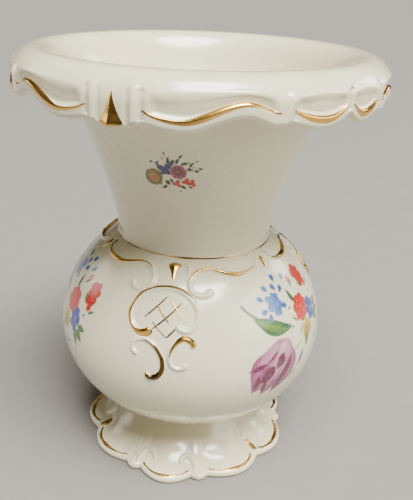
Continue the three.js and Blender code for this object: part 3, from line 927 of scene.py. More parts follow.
def blade(sheet, base, tip, width, bend, middle, edge, fullness=0.8, veins=0.0, strength=1.0, soft=None):
    """A leaf or long petal: half width = width sin(pi u^fullness), on a spine that bows by bend."""
    dx, dy = tip[0] - base[0], tip[1] - base[1]
    along, across = local(sheet, *base, math.degrees(math.atan2(dy, dx)))
    u = np.clip(along / math.hypot(dx, dy), 0, 1)
    across = across - bend * np.sin(np.pi * u)
    half = width * np.sin(np.pi * u**fullness)
    mask = ease(half - np.abs(across), 0, soft or sheet["edge"])
    tone = np.clip(np.abs(across) / np.maximum(half, 0.05), 0, 1) ** 1.3
    tone = tone + veins * np.sin(4.2 * across / max(width, 0.3) * 3 + 5 * u) * (1 - tone)
    lay(sheet, strength * mask, tint(middle, edge, tone))


def stem(sheet, places, width, colour, strength=0.9):
    """A thin line: the distance to the nearest point of a smooth path, less half the width."""
    path = smooth_path(places)[::6]
    nearest = np.full(sheet["x"].shape, 1e9)
    for px, py in path:
        nearest = np.minimum(nearest, np.hypot(sheet["x"] - px, sheet["y"] - py))
    lay(sheet, strength * ease(width / 2 - nearest, -sheet["edge"] / 2, sheet["edge"] / 2), colour)


def bloom(sheet, x, y, radius, petals, heart, rim, eye, turn=0, eye_size=0.24):
    """A round flower: petals in a ring, each darker towards the heart and lined at its sides, and an eye."""
    for k in range(petals):
        way = turn + 360 * k / petals
        px = x + 0.52 * radius * math.cos(math.radians(way))
        py = y + 0.52 * radius * math.sin(math.radians(way))
        along, across = local(sheet, px, py, way)
        reach = np.hypot(along / (0.56 * radius), across / (0.5 * radius))
        mask = ease((1 - reach) * 0.5 * radius, 0, sheet["edge"])
        share = 0.5 + 0.5 * along / (0.5 * radius) - 0.35 * reach**4
        share = share + 0.16 * np.sin(14 * across / radius + k)
        lay(sheet, mask, tint(heart, rim, share))
    oval(sheet, x, y, eye_size * radius, eye_size * radius, 0, eye, heart)


# %% Paint the large spray
def paint_spray():
    """Tulip low on the left, a long leaf over it, a poppy in the middle, and small flowers round them."""
    spray = blank_sheet(-38, 34, -33, 33, 0.3)
    leaf_edge, leaf_heart, dark_leaf = (66, 120, 96), (140, 166, 84), (56, 96, 66)
    lilac, rose, flame, pale = (192, 136, 170), (170, 82, 142), (132, 16, 90), (212, 176, 188)
    stem(spray, [(-7, 2), (-4.5, -1), (-5.5, -4), (-8, -5)], 0.7, (150, 170, 140), 0.6)
    stem(spray, [(4, 2), (3, -6), (2.4, -14)], 0.5, (140, 165, 140), 0.5)
    blade(spray, (-7.5, -4), (-19.5, -30.5), 6.4, 3.6, rose, flame, fullness=0.85, veins=0.5)
    blade(spray, (-12, -1), (-35.2, -13.4), 6.0, 4.0, pale, lilac, fullness=0.7, veins=0.4)
    blade(spray, (-7, -5), (-14, -27.5), 4.6, 3.4, lilac, rose, fullness=0.8, veins=0.5)
    blade(spray, (-14, -4), (-31, -27), 9.0, -2.4, lilac, rose, fullness=1.0, veins=0.5)
    blade(spray, (-11, -3), (-25, -30), 8.0, -1.0, lilac, rose, fullness=1.0, veins=0.6)
    blade(spray, (-8, -1.5), (-23, -23), 8.6, 0.6, pale, lilac, fullness=0.72, veins=0.35)
    worn = {"strength": 0.8, "soft": 1.2}
    blade(spray, (-15, -3), (-30, -11), 4.6, 0.8, pale, lilac, fullness=0.8, veins=0.3, **worn)
    for base, tip, width in [
        ((-12, -8), (-17.5, -16.5), 2.6), ((-18, -14), (-27, -20), 3.0), ((-19, -18.5), (-29, -20.5), 2.0),
        ((-5.8, -10), (-15.5, -27), 1.9), ((-23, -11), (-35, -13.4), 1.5), ((-28, -16), (-30.5, -26.5), 1.5),
        ((-9, -14), (-19, -29.5), 1.5), ((-15, -5), (-25, -12.5), 1.0), ((-24, -20), (-25, -29.5), 1.3),
    ]:
        blade(spray, base, tip, 1.25 * width, 0.4, flame, flame, soft=1.2)
    for base, tip in [((-25.5, -21), (-28.5, -26)), ((-20.5, -21), (-24, -27)), ((-13, -5), (-11.5, -10))]:
        blade(spray, base, tip, 1.3, 0.3, (200, 190, 142), (180, 134, 140), strength=0.75, soft=0.9)
    blade(spray, (-9.5, -3), (-17, -9), 3.0, 0, (226, 206, 192), pale, strength=0.7, soft=1.8)
    stem(spray, [(-29.2, 19.6), (-28, 16.8), (-25.6, 14), (-23, 11.5)], 1.6, (94, 136, 112))
    blade(spray, (-26.5, 13), (-2.5, 2.4), 4.5, -2.4, leaf_heart, leaf_edge, fullness=0.9, veins=0.15)
    blade(spray, (-17, 2.4), (-9, 5.5), 1.9, -0.6, (92, 150, 124), leaf_heart, strength=0.7, soft=1.6)
    blade(spray, (-11, 5.5), (-2.4, 2.5), 1.6, 0.2, (70, 128, 112), leaf_edge, strength=0.8, soft=0.8)
    sky, deep_sky, orange = (112, 164, 214), (66, 114, 182), (230, 150, 80)
    for x, y, r in [
        (-13.2, 19.8, 2.4), (-7, 15.8, 2.3), (-14.2, 14.8, 2.0), (-12.4, 16.6, 2.9), (-9.2, 19.4, 3.5),
        (-10, 13.4, 3.5),
    ]:
        bloom(spray, x, y, r, 5, deep_sky, sky, orange, turn=20 * x)
    for x, y, way in [
        (-4, 29.5, 80), (-7, 25, 110), (-2.5, 23, 60), (-18, 21, 150), (-18.5, 14.3, 200),
        (-4.6, 14.2, 350), (-12.6, 25.6, 120), (-16, 10.6, 250), (3, 28, 70),
    ]:
        oval(spray, x, y, 2.2, 1.9, way, deep_sky, sky, soft=0.8)
        dx, dy = math.cos(math.radians(way)), math.sin(math.radians(way))
        root, tip = (x - 2.6 * dx, y - 2.6 * dy), (x - 0.6 * dx, y - 0.6 * dy)
        blade(spray, root, tip, 0.9, 0.2, dark_leaf, leaf_edge)
    blade(spray, (4.6, 12), (0.6, 22.2), 1.7, 0.5, (74, 116, 84), (140, 168, 128), veins=0.3)
    blade(spray, (6, 20), (9, 25.6), 1.2, 0.3, (96, 136, 90), (120, 160, 120))
    oval(spray, 6.4, 25, 2.6, 2.0, 80, (214, 84, 106), (226, 130, 142))
    for x, y, r in [
        (14, 25.4, 3.1), (16.6, 27.4, 2.6), (19, 24.4, 3.3), (15.8, 22, 3.1), (20.8, 20.4, 3.3),
        (17.6, 18.2, 2.8), (21.8, 16.8, 2.6), (18.2, 21.6, 2.4),
    ]:
        oval(spray, x, y, r, 0.86 * r, 30 * x, (220, 44, 28), (186, 28, 32))
    for x, y in [(17.2, 23), (19.4, 20.2), (16.4, 25.6)]:
        oval(spray, x, y, 1.1, 0.6, 60, (236, 150, 90), (226, 90, 62), 0.8)
    blade(spray, (13, 20.5), (18.5, 15.6), 1.1, -0.3, (96, 140, 84), (130, 165, 110))
    blade(spray, (24, 14), (27.5, 19), 1.2, 0.2, (100, 140, 110), (140, 170, 140))
    for x, y, r, way in [
        (16.6, 7.6, 3.3, 60), (20.4, 5.6, 3.2, 300), (17.2, 1.2, 3.2, 220), (20.2, 0.4, 3.0, 330),
        (15.2, 4.2, 2.8, 150),
    ]:
        oval(spray, x, y, 1.15 * r, 0.9 * r, way, (48, 84, 176), (104, 132, 204))
    oval(spray, 18.2, 3.2, 1.1, 1.1, 0, (226, 196, 96), (96, 110, 170))
    for k in range(7):
        way = 51 * k + 14
        px = 7.9 + 3.5 * math.cos(math.radians(way))
        py = 8.6 + 4.0 * math.sin(math.radians(way))
        oval(spray, px, py, 3.8, 3.3, way, (226, 70, 58), (190, 32, 38))
        oval(spray, px - 0.4, py + 0.3, 1.5, 0.7, way + 20, (246, 150, 134), (230, 100, 88), 0.6)
    oval(spray, 8.0, 9.0, 2.4, 2.2, 0, (216, 76, 70), (218, 64, 56))
    oval(spray, 8.0, 9.4, 1.4, 1.1, 0, (196, 124, 140), (216, 92, 86))
    for k in range(9):
        px, py = 8.0 + 1.9 * math.cos(0.7 * k), 9.3 + 1.7 * math.sin(0.7 * k)
        oval(spray, px, py, 0.33, 0.33, 0, (120, 40, 60), (170, 50, 60))
    for way in (20, 80, 150, 215, 280, 335):
        px, py = 10.2 + 2.6 * math.cos(math.radians(way)), -3.6 + 2.6 * math.sin(math.radians(way))
        low = math.sin(math.radians(way)) < 0
        rim = (168, 172, 84) if low else (232, 204, 96)
        oval(spray, px, py, 3.3, 2.6, way, (216, 178, 50), rim)
    oval(spray, 10.4, -3.6, 1.2, 1.2, 0, (124, 104, 146), (200, 180, 96))
    blade(spray, (9.4, -5), (7.2, -13), 2.2, 0.3, (112, 136, 60), (166, 172, 84))
    for base, tip, width in [
        ((-1, -8.2), (-4, -10.4), 0.9), ((0.6, -7), (-0.4, -11), 0.9), ((-1, 2.6), (-4.4, 1.4), 0.9),
        ((0, 11.6), (-4, 12), 0.9), ((3, 3), (-2.4, 7.8), 1.0), ((5, 0), (2, -4), 1.0),
    ]:
        blade(spray, base, tip, width, 0.2, (116, 150, 116), (150, 176, 140))
    for base, tip, width in [
        ((23, 3), (30, 6.5), 2.4), ((22.5, 1), (31, -1), 2.6), ((21.5, -1), (28, -6.5), 2.3),
    ]:
        blade(spray, base, tip, width, 0.4, (92, 136, 70), (120, 156, 92), veins=0.3)
    stem(spray, [(22, 2), (26, -4), (30, -9)], 0.6, (110, 146, 100))
    oval(spray, 19, -12, 3.2, 1.4, 60, (96, 130, 190), (150, 176, 212))
    oval(spray, 22.6, 11.6, 1.3, 1.1, 0, (72, 82, 130), (110, 130, 170))
    stem(spray, [(3, -16), (-1, -21), (-6.5, -27)], 0.5, (130, 150, 120))
    blade(spray, (4.6, -12.4), (-1.6, -22), 1.7, 0.4, (146, 92, 156), (184, 140, 180), veins=0.4)
    blade(spray, (-1, -20), (-8, -28), 1.0, -0.4, (118, 146, 112), (156, 172, 140))
    return spray


spray_sheet = paint_spray()
print(f"spray sheet {spray_sheet['cover'].shape}, inked {np.mean(spray_sheet['cover'] > 0.5):.0%}")

# %% Paint the small posy
def paint_posy():
    """A short posy: an olive flower, a blue one, a purple round one and three red ones among green sprigs."""
    posy = blank_sheet(-14, 21, -12, 15, 0.14)
    green, dark_green = (92, 122, 84), (56, 84, 60)
    for places in [
        [(-1, 5), (1, 8), (-0.6, 11.4)], [(2, 5), (6, 8.6), (8.2, 11.6)], [(4, 5), (9, 6.4), (11, 8)],
        [(7, 3), (12, 5), (16.4, 4.4)], [(9, 2), (12.5, 7), (14.2, 8.4)], [(-2, 4), (-5, 6), (-7, 6.2)],
    ]:
        stem(posy, places, 0.42, dark_green, 0.8)
    for base, tip, width in [
        ((1, 5.5), (1.6, 10.4), 0.9), ((2.4, 6), (4.4, 8.8), 1.1), ((-1, 8), (-1.6, 9.8), 0.5),
        ((4.6, 6), (6.4, 9.8), 0.9), ((6.6, 6), (11, 7.4), 0.9), ((9.4, 3.4), (12, 3.9), 1.0),
        ((12.6, 3), (15, 2.6), 1.0), ((14.4, 3.6), (17, 4.8), 0.7), ((10.6, 5), (12.9, 8), 0.8),
        ((-1, -3.4), (1.4, -5.8), 1.3), ((1.4, -2), (2.6, -4.8), 0.9), ((0, -5.6), (-3, -8.2), 0.9),
        ((6, -5.6), (8.6, -7.6), 1.0), ((9.4, -5.8), (11.8, -6.9), 0.8), ((-4.6, 4.4), (-3.2, 7.4), 0.8),
        ((6, 9.4), (8.6, 12), 0.6),
    ]:
        blade(posy, base, tip, width, 0.2, dark_green, green)
    oval(posy, -0.3, 11.6, 1.1, 0.6, 110, (112, 74, 50), (140, 100, 70))
    oval(posy, -7, 6.2, 1.0, 0.7, 130, (66, 44, 92), (110, 84, 120))
    oval(posy, 14.4, 8.4, 0.9, 0.55, 40, (150, 92, 132), (180, 140, 160))
    oval(posy, 5.8, -8.8, 0.7, 0.5, 0, (132, 58, 84), (160, 110, 120))
    oval(posy, 19, -5, 0.5, 0.35, 0, (130, 130, 110), (170, 170, 150), 0.6)
    oval(posy, 11.8, 3.4, 1.5, 0.8, 60, (150, 116, 140), (182, 156, 166), 0.7)
    for x, y, r, way in [
        (-2.7, 3.5, 2.1, 150), (-1.2, 1.5, 2.0, 250), (0.9, 4.5, 2.1, 60), (2.3, 6.1, 1.7, 40),
        (0.7, 1.4, 1.9, 320), (-0.4, 3.2, 1.6, 0),
    ]:
        oval(posy, x, y, r, 0.8 * r, way, (40, 50, 112), (92, 112, 170))
    oval(posy, -0.3, 2.9, 0.7, 0.7, 0, (22, 24, 60), (52, 64, 130))
    for base, tip in [((-9.6, 1.6), (-2.6, -6.4)), ((-7.6, 2.6), (-2.4, -4.6)), ((-10.8, -1), (-4.4, -6.8))]:
        blade(posy, base, tip, 2.9, 0.3, (182, 164, 62), (116, 106, 26), fullness=0.95, veins=0.25)
    oval(posy, -6.6, -2.2, 4.6, 3.6, -42, (206, 182, 96), (128, 116, 30), 0.92)
    oval(posy, -6.2, -2.4, 2.5, 1.8, -40, (222, 148, 92), (196, 172, 92), 0.9)
    oval(posy, -6.2, -2.3, 1.5, 0.9, -30, (206, 56, 26), (220, 112, 66))
    bloom(posy, 5.4, 1.9, 3.9, 8, (136, 48, 92), (198, 134, 158), (196, 168, 90), turn=12, eye_size=0.27)
    oval(posy, 7.4, 0.8, 1.5, 1.0, 300, (112, 34, 74), (160, 80, 116), 0.7, soft=0.6)
    for x, y in [(4.5, -4.6), (8.7, -3.2), (11.1, -3.8)]:
        for way in (70, 190, 310):
            px, py = x + 0.9 * math.cos(math.radians(way)), y + 0.9 * math.sin(math.radians(way))
            oval(posy, px, py, 1.6, 1.15, way, (222, 44, 44), (196, 26, 34))
        oval(posy, x, y, 0.4, 0.3, 0, (236, 120, 90), (214, 50, 46))
    return posy


posy_sheet = paint_posy()
print(f"posy sheet {posy_sheet['cover'].shape}, inked {np.mean(posy_sheet['cover'] > 0.5):.0%}")

# %% Cut out the ink and bend it onto the porcelain
FILM_UP = 0.055  # how far the film stands above the glaze
FILM_THICK = 0.08  # the rest of it lies inside the glaze
INK_EDGE = 0.04  # less cover than this counts as bare
INK_DEPTH = 1.55  # above 1 the fired ink is deeper and fuller in colour than the tints on the sheet


def inked_cells(cover):
    """Cells with ink at a corner, with corner-to-corner touches filled in so the film stays whole."""
    ink = cover > INK_EDGE
    cells = ink[:-1, :-1] | ink[1:, :-1] | ink[:-1, 1:] | ink[1:, 1:]
    cells[[0, -1]] = cells[:, [0, -1]] = False
    for _ in range(4):
        a, b, c, d = cells[:-1, :-1], cells[:-1, 1:], cells[1:, :-1], cells[1:, 1:]
        b |= a & d & ~b & ~c
        a |= b & c & ~a & ~d
    return cells


def film_faces(cells, cols, count):
    """Top faces, bottom faces count points later, and a wall along every edge with no neighbour."""
    i, j = np.nonzero(cells)
    corner = np.stack([i * cols + j, i * cols + j + 1, (i + 1) * cols + j + 1, (i + 1) * cols + j], axis=1)
    padded = np.pad(cells, 1)
    walls = []
    for a, b, di, dj in [(0, 1, -1, 0), (1, 2, 0, 1), (2, 3, 1, 0), (3, 0, 0, -1)]:
        free = corner[~padded[i + 1 + di, j + 1 + dj]]
        walls.append(np.stack([free[:, b], free[:, a], free[:, a] + count, free[:, b] + count], axis=1))
    return np.vstack([corner, corner[:, ::-1] + count, *walls])


def linear(srgb):
    """Screen colour to the linear colour that light adds up in."""
    return np.where(srgb <= 0.04045, srgb / 12.92, ((srgb + 0.055) / 1.055) ** 2.4)


def transfer(name, sheet, surface, centre, level, turn=0.0, pivot=(0.0, 0.0), moved=(0.0, 0.0)):
    """The sheet turned about its pivot, then bent: x becomes arc round the vase, y arc up its side."""
    heights = np.linspace(6, NECK_TOP_Z, 1500)
    profile = surface(np.zeros_like(heights), heights)
    arc = np.concatenate([[0], np.cumsum(np.linalg.norm(np.diff(profile, axis=0), axis=1))])
    along, across = local(sheet, *pivot, -turn)
    x = along + pivot[0] + moved[0]
    y = across + pivot[1] + moved[1]
    z = np.interp(np.interp(level, heights, arc) + y, arc, heights)
    r = -surface(np.zeros_like(z), z)[..., 1]
    points, normal, _, _ = frame_on(surface, centre + np.degrees(x / r), z)
    shape = sheet["cover"].shape
    top = (points + normal * FILM_UP).reshape(-1, 3)
    under = (points + normal * (FILM_UP - FILM_THICK)).reshape(-1, 3)
    faces = film_faces(inked_cells(sheet["cover"]), shape[1], len(top))
    used, faces = np.unique(faces, return_inverse=True)
    faces = faces.reshape(-1, 4)
    flat_uv = np.stack(np.meshgrid(np.linspace(0, 1, shape[1]), np.linspace(0, 1, shape[0])), axis=-1)
    flat_uv = flat_uv.reshape(-1, 2)
    uv = np.vstack([flat_uv, flat_uv])[used][faces]
    film = mesh_object(name, np.vstack([top, under])[used] * MM, [faces], [uv])
    ink = linear(sheet["ink"]) ** INK_DEPTH
    paint = np.concatenate([ink, sheet["cover"][..., None]], axis=-1).reshape(-1, 4)
    attribute = film.data.attributes.new("paint", "FLOAT_COLOR", "POINT")
    attribute.data.foreach_set("color", np.vstack([paint, paint])[used].astype(np.float32).ravel())
    return film


POPPY = (8.0, 9.0)  # the middle of the poppy on its sheet
transfer_pieces = [
    transfer("transfer_spray_right", spray_sheet, bowl_surface, 62, 90),
    transfer("transfer_spray_left", spray_sheet, bowl_surface, -58, 90, -22, POPPY, moved=(-2.0, -4.0)),
    transfer("transfer_spray_back", spray_sheet, bowl_surface, 180, 90, 8, POPPY),
    transfer("transfer_posy", posy_sheet, neck_surface, -4, 170),
]
for film in transfer_pieces:
    print(f"{film.name}: {len(film.data.polygons)} faces")

# %% [markdown]
# ## Shader groups
#
# Some effects turn up in several finishes: the soft clouding of a glaze, its kiln specks, and gold or
# ink that has worn thin. Each is built once as a node group with named sockets. A group only hands out
# colours and masks that change over the surface. The shader itself stays in the material.

# %% Helpers for nodes and groups
def add_node(tree, kind, inputs=(), **settings):
    """Adds a node, applies its settings, and fills or links its inputs by name or number."""
    node = tree.nodes.new(kind)
    for setting, value in settings.items():
        setattr(node, setting, value)
    for label, value in dict(inputs).items():
        if isinstance(value, bpy.types.NodeSocket):
            tree.links.new(value, node.inputs[label])
        else:
            node.inputs[label].default_value = value
    return node


def new_group(name, inputs, outputs):
    """An empty shader group: inputs are (label, kind, value) and outputs are (label, kind)."""
    group = bpy.data.node_groups.new(name, "ShaderNodeTree")
    for label, kind, value in inputs:
        socket = group.interface.new_socket(label, in_out="INPUT", socket_type=f"NodeSocket{kind}")
        if value is not None:
            socket.default_value = value
    for label, kind in outputs:
        group.interface.new_socket(label, in_out="OUTPUT", socket_type=f"NodeSocket{kind}")
    return group, group.nodes.new("NodeGroupInput"), group.nodes.new("NodeGroupOutput")


def noise(tree, vector, scale, detail=2.0, rough=0.5):
    numbers = {"Vector": vector, "Scale": scale, "Detail": detail, "Roughness": rough}
    return add_node(tree, "ShaderNodeTexNoise", numbers)


def remap(tree, value, low, high, to_low, to_high):
    """Straight-line change of range, clamped at both ends."""
    numbers = {0: value, 1: low, 2: high, 3: to_low, 4: to_high}
    return add_node(tree, "ShaderNodeMapRange", numbers, clamp=True).outputs[0]


def mix_colour(tree, share, a, b):
    """Colour a, giving way to colour b as the share goes from 0 to 1."""
    return add_node(tree, "ShaderNodeMix", {0: share, 6: a, 7: b}, data_type="RGBA").outputs[2]


def join(tree, operation, *values):
    """One math node over its inputs in order."""
    return add_node(tree, "ShaderNodeMath", dict(enumerate(values)), operation=operation).outputs[0]


# %% Glaze clouds, kiln specks and thin wear
def glaze_clouds():
    """Two sizes of noise tint the glaze, and its skin has an orange-peel ripple about a centimetre wide."""
    group, enter, leave = new_group(
        "glaze_clouds",
        [
            ("Vector", "Vector", None),
            ("Glaze", "Color", (0.8, 0.8, 0.7, 1)),
            ("Cloud", "Color", (0.7, 0.7, 0.6, 1)),
        ],
        [("Color", "Color"), ("Roughness", "Float"), ("Height", "Float")],
    )
    broad = noise(group, enter.outputs["Vector"], 14, 3).outputs[0]
    fine = noise(group, enter.outputs["Vector"], 240, 4, 0.6).outputs[0]
    glaze, cloud = enter.outputs["Glaze"], enter.outputs["Cloud"]
    cloudy = mix_colour(group, remap(group, broad, 0.35, 0.7, 0, 0.75), glaze, cloud)
    mottled = mix_colour(group, remap(group, fine, 0.45, 0.8, 0, 0.3), cloudy, cloud)
    ripple = noise(group, enter.outputs["Vector"], 70, 1.5).outputs[0]
    group.links.new(mottled, leave.inputs["Color"])
    group.links.new(remap(group, fine, 0.3, 0.75, 0.2, 0.32), leave.inputs["Roughness"])
    group.links.new(ripple, leave.inputs["Height"])
    return group


def kiln_specks():
    """Scattered dots: cells of a Voronoi pattern, of which only the few with a high random colour count."""
    group, enter, leave = new_group(
        "kiln_specks",
        [("Vector", "Vector", None), ("Color", "Color", None), ("Speck", "Color", (0.25, 0.18, 0.1, 1))],
        [("Color", "Color"), ("Mask", "Float")],
    )
    cells = add_node(group, "ShaderNodeTexVoronoi", {"Vector": enter.outputs["Vector"], "Scale": 300})
    dot = remap(group, cells.outputs["Distance"], 0.06, 0.13, 1, 0)
    chosen = add_node(group, "ShaderNodeSeparateColor", {0: cells.outputs["Color"]})
    rare = remap(group, chosen.outputs[0], 0.965, 0.97, 0, 1)
    mask = join(group, "MULTIPLY", dot, rare)
    faint = join(group, "MULTIPLY", mask, 0.55)
    specked = mix_colour(group, faint, enter.outputs["Color"], enter.outputs["Speck"])
    group.links.new(specked, leave.inputs["Color"])
    group.links.new(mask, leave.inputs["Mask"])
    return group


def thin_wear():
    """Where a thin layer has rubbed away: fine noise inside broad patches, more of it as Amount grows."""
    group, enter, leave = new_group(
        "thin_wear",
        [("Vector", "Vector", None), ("Amount", "Float", 0.3)],
        [("Mask", "Float")],
    )
    patches = noise(group, enter.outputs["Vector"], 160, 2).outputs[0]
    grain = noise(group, enter.outputs["Vector"], 1500, 3, 0.7).outputs[0]
    both = join(group, "MULTIPLY_ADD", patches, 0.6, grain)
    shifted = join(group, "ADD", both, enter.outputs["Amount"])
    group.links.new(remap(group, shifted, 1.18, 1.4, 0, 1), leave.inputs["Mask"])
    return group


def brush_streaks():
    """Streaks along a stroke: noise stretched lengthwise on the stroke's own UV map."""
    group, enter, leave = new_group(
        "brush_streaks",
        [("Vector", "Vector", None), ("Stretch", "Vector", (30, 3, 1))],
        [("Streak", "Float")],
    )
    sides = {0: enter.outputs["Vector"], 1: enter.outputs["Stretch"]}
    scaled = add_node(group, "ShaderNodeVectorMath", sides, operation="MULTIPLY")
    group.links.new(noise(group, scaled.outputs[0], 1, 3, 0.6).outputs[0], leave.inputs["Streak"])
    return group


CLOUDS, SPECKS, WEAR, STREAKS = glaze_clouds(), kiln_specks(), thin_wear(), brush_streaks()
print("groups:", ", ".join(group.name for group in bpy.data.node_groups))

# %% [markdown]
# ## Ivory glaze, bare foot ring, gold and ink
#
# The body is cream-white porcelain under a clear, very glossy glaze, so its shader is a smooth
# dielectric with a hard coat, a slightly clouded tint and a few specks. The foot stands on a ring that
# was wiped clean before firing, which shows as dull, slightly darker clay. The gold is a metal whose
# colour goes from pale to red-brown with the thickness of the film. The ink lies under the same gloss
# as the glaze, and lets the glaze show wherever its coverage runs out.
# In places the gold is painted dark brown, as a painted reflection of dark surroundings.

# %% Glaze materials
IVORY = (0.8, 0.755, 0.54, 1)
IVORY_CLOUD = (0.74, 0.68, 0.45, 1)
CLAY = (0.6, 0.54, 0.44, 1)


def new_material(name):
    material = bpy.data.materials.new(name)
    material.use_nodes = True
    tree = material.node_tree
    return material, tree, tree.nodes["Principled BSDF"], add_node(tree, "ShaderNodeTexCoord")


def glazed_base(tree, coordinates):
    """Clouds, then specks over them. Returns the colour, the roughness and the ripple height."""
    where = coordinates.outputs["Object"]
    clouds = add_node(tree, "ShaderNodeGroup", node_tree=CLOUDS)
    tree.links.new(where, clouds.inputs["Vector"])
    clouds.inputs["Glaze"].default_value = IVORY
    clouds.inputs["Cloud"].default_value = IVORY_CLOUD
    specks = add_node(tree, "ShaderNodeGroup", node_tree=SPECKS)
    tree.links.new(where, specks.inputs["Vector"])
    tree.links.new(clouds.outputs["Color"], specks.inputs["Color"])
    return specks.outputs["Color"], clouds.outputs["Roughness"], clouds.outputs["Height"]


def gloss(tree, shader, height):
    """A hard clear coat, and the ripple as a bump on the glaze under it."""
    shader.inputs["IOR"].default_value = 1.52
    shader.inputs["Coat Weight"].default_value = 0.7
    shader.inputs["Coat Roughness"].default_value = 0.13
    ripple = add_node(tree, "ShaderNodeBump", {"Height": height, "Strength": 0.25, "Distance": 0.0004})
    tree.links.new(ripple.outputs[0], shader.inputs["Normal"])


def ivory_glaze():
    material, tree, shader, coordinates = new_material("ivory_glaze")
    colour, roughness, height = glazed_base(tree, coordinates)
    tree.links.new(colour, shader.inputs["Base Color"])
    tree.links.new(roughness, shader.inputs["Roughness"])
    gloss(tree, shader, height)
    return material


def ivory_foot():
    """The same glaze, with bare clay below a ragged line about half a millimetre up."""
    material, tree, shader, coordinates = new_material("ivory_foot")
    colour, roughness, height = glazed_base(tree, coordinates)
    place = add_node(tree, "ShaderNodeSeparateXYZ", {0: coordinates.outputs["Object"]})
    ragged = noise(tree, coordinates.outputs["Object"], 320, 3).outputs[0]
    level = join(tree, "MULTIPLY_ADD", ragged, 0.0012, place.outputs[2])
    bare = remap(tree, level, 0.0009, 0.0013, 1, 0)
    tree.links.new(mix_colour(tree, bare, colour, CLAY), shader.inputs["Base Color"])
    rough = add_node(tree, "ShaderNodeMix", {0: bare, 2: roughness, 3: 0.85}).outputs[0]
    tree.links.new(rough, shader.inputs["Roughness"])
    gloss(tree, shader, height)
    tree.links.new(remap(tree, bare, 0, 1, 0.7, 0.0), shader.inputs["Coat Weight"])
    return material


IVORY_GLAZE, IVORY_FOOT = ivory_glaze(), ivory_foot()
print(IVORY_GLAZE.name, IVORY_FOOT.name)

# %% Gold and ink materials
PALE_GOLD = (1.0, 0.62, 0.17, 1)
RED_GOLD = (0.86, 0.42, 0.07, 1)
# near-black brown, painted where the gold stands for dark reflections
PAINTED_DARK_GOLD = (0.075, 0.042, 0.012, 1)
WORN_GOLD = (0.5, 0.4, 0.24, 1)


def bright_gold(name, wear):
    """Metal with lengthwise streaks in tint and polish, painted dark reflections from a stored share, and
    rubbed patches that turn dull and thin.
    """
    material, tree, shader, coordinates = new_material(name)
    streaks = add_node(tree, "ShaderNodeGroup", node_tree=STREAKS)
    tree.links.new(coordinates.outputs["UV"], streaks.inputs["Vector"])
    worn = add_node(tree, "ShaderNodeGroup", node_tree=WEAR)
    tree.links.new(coordinates.outputs["Object"], worn.inputs["Vector"])
    worn.inputs["Amount"].default_value = wear
    streak = streaks.outputs["Streak"]
    bright = mix_colour(tree, remap(tree, streak, 0.35, 0.72, 0, 0.8), PALE_GOLD, RED_GOLD)
    # painted dark reflections: the stored share turns the gold towards near-black brown
    painted_dark = add_node(tree, "ShaderNodeAttribute", attribute_name="painted_dark_reflection").outputs["Fac"]
    metal = mix_colour(tree, painted_dark, bright, PAINTED_DARK_GOLD)
    tree.links.new(mix_colour(tree, worn.outputs["Mask"], metal, WORN_GOLD), shader.inputs["Base Color"])
    tree.links.new(remap(tree, worn.outputs["Mask"], 0, 1, 1.0, 0.35), shader.inputs["Metallic"])
    polish = remap(tree, streak, 0.3, 0.75, 0.14, 0.3)
    dull = join(tree, "MULTIPLY_ADD", worn.outputs["Mask"], 0.25, polish)
    tree.links.new(dull, shader.inputs["Roughness"])
    bump_node = add_node(tree, "ShaderNodeBump", {"Height": streak, "Strength": 0.3, "Distance": 0.0001})
    tree.links.new(bump_node.outputs[0], shader.inputs["Normal"])
    return material


def flower_ink():
    """The painted ink over the glaze by its coverage, with a printed grain and a little wear."""
    material, tree, shader, coordinates = new_material("flower_ink")
    colour, roughness, height = glazed_base(tree, coordinates)
    paint = add_node(tree, "ShaderNodeAttribute", attribute_name="paint")
    worn = add_node(tree, "ShaderNodeGroup", node_tree=WEAR)
    tree.links.new(coordinates.outputs["Object"], worn.inputs["Vector"])
    worn.inputs["Amount"].default_value = 0.1
    grain = noise(tree, coordinates.outputs["Object"], 1100, 2).outputs[0]
    kept = remap(tree, grain, 0.3, 0.6, 0.9, 1.0)
    solid = join(tree, "MULTIPLY", paint.outputs["Alpha"], kept)
    left = remap(tree, worn.outputs["Mask"], 0, 1, 1.0, 0.45)
    share = join(tree, "MULTIPLY", solid, left)
    tree.links.new(mix_colour(tree, share, colour, paint.outputs["Color"]), shader.inputs["Base Color"])
    tree.links.new(roughness, shader.inputs["Roughness"])
    gloss(tree, shader, height)
    return material


BRIGHT_GOLD = bright_gold("bright_gold", 0.1)
RUBBED_GOLD = bright_gold("rubbed_gold", 0.32)
FLOWER_INK = flower_ink()
print(BRIGHT_GOLD.name, RUBBED_GOLD.name, FLOWER_INK.name)

# %% [markdown]
# ## Put every piece on the frame
#
# The vase has no moving parts, so every piece rides on its one body. A piece that stands for a part of
# the frame hides that part, and its finish is picked by the part's name. The small reliefs, the gold that
# rides on the scrolls and the transfers belong to parts that the frame holds in a plainer form.

# %% Ride, replace and paint
RUBBED = ("cartouche_lattice",)


def settle(piece, material, node=None):
    piece.data.materials.append(material)
    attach(piece, "root")
    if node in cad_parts:
        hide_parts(node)


for node, piece in porcelain_pieces.items():
    settle(piece, IVORY_FOOT if node == "foot" else IVORY_GLAZE, node)
for piece in extra_porcelain:
    settle(piece, IVORY_GLAZE)
for node, piece in gold_pieces.items():
    settle(piece, RUBBED_GOLD if node.startswith(RUBBED) else BRIGHT_GOLD, node)
for film in transfer_pieces:
    settle(film, FLOWER_INK)
stood_for = set(porcelain_pieces) | set(gold_pieces)
print("frame nodes with no finer piece:", sorted(set(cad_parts) - stood_for))

# %% [markdown]
# ## Camera, floor and light
#
# The vase is seen from a little above and close by, as a person at a table sees it. The floor is plain
# and pale. Most of the light is one broad soft light from high on the right, so the lip is bright and
# shades the neck. A wide window stands to the right, a small one to the left and another behind, and a
# dim sky fills the shadows.

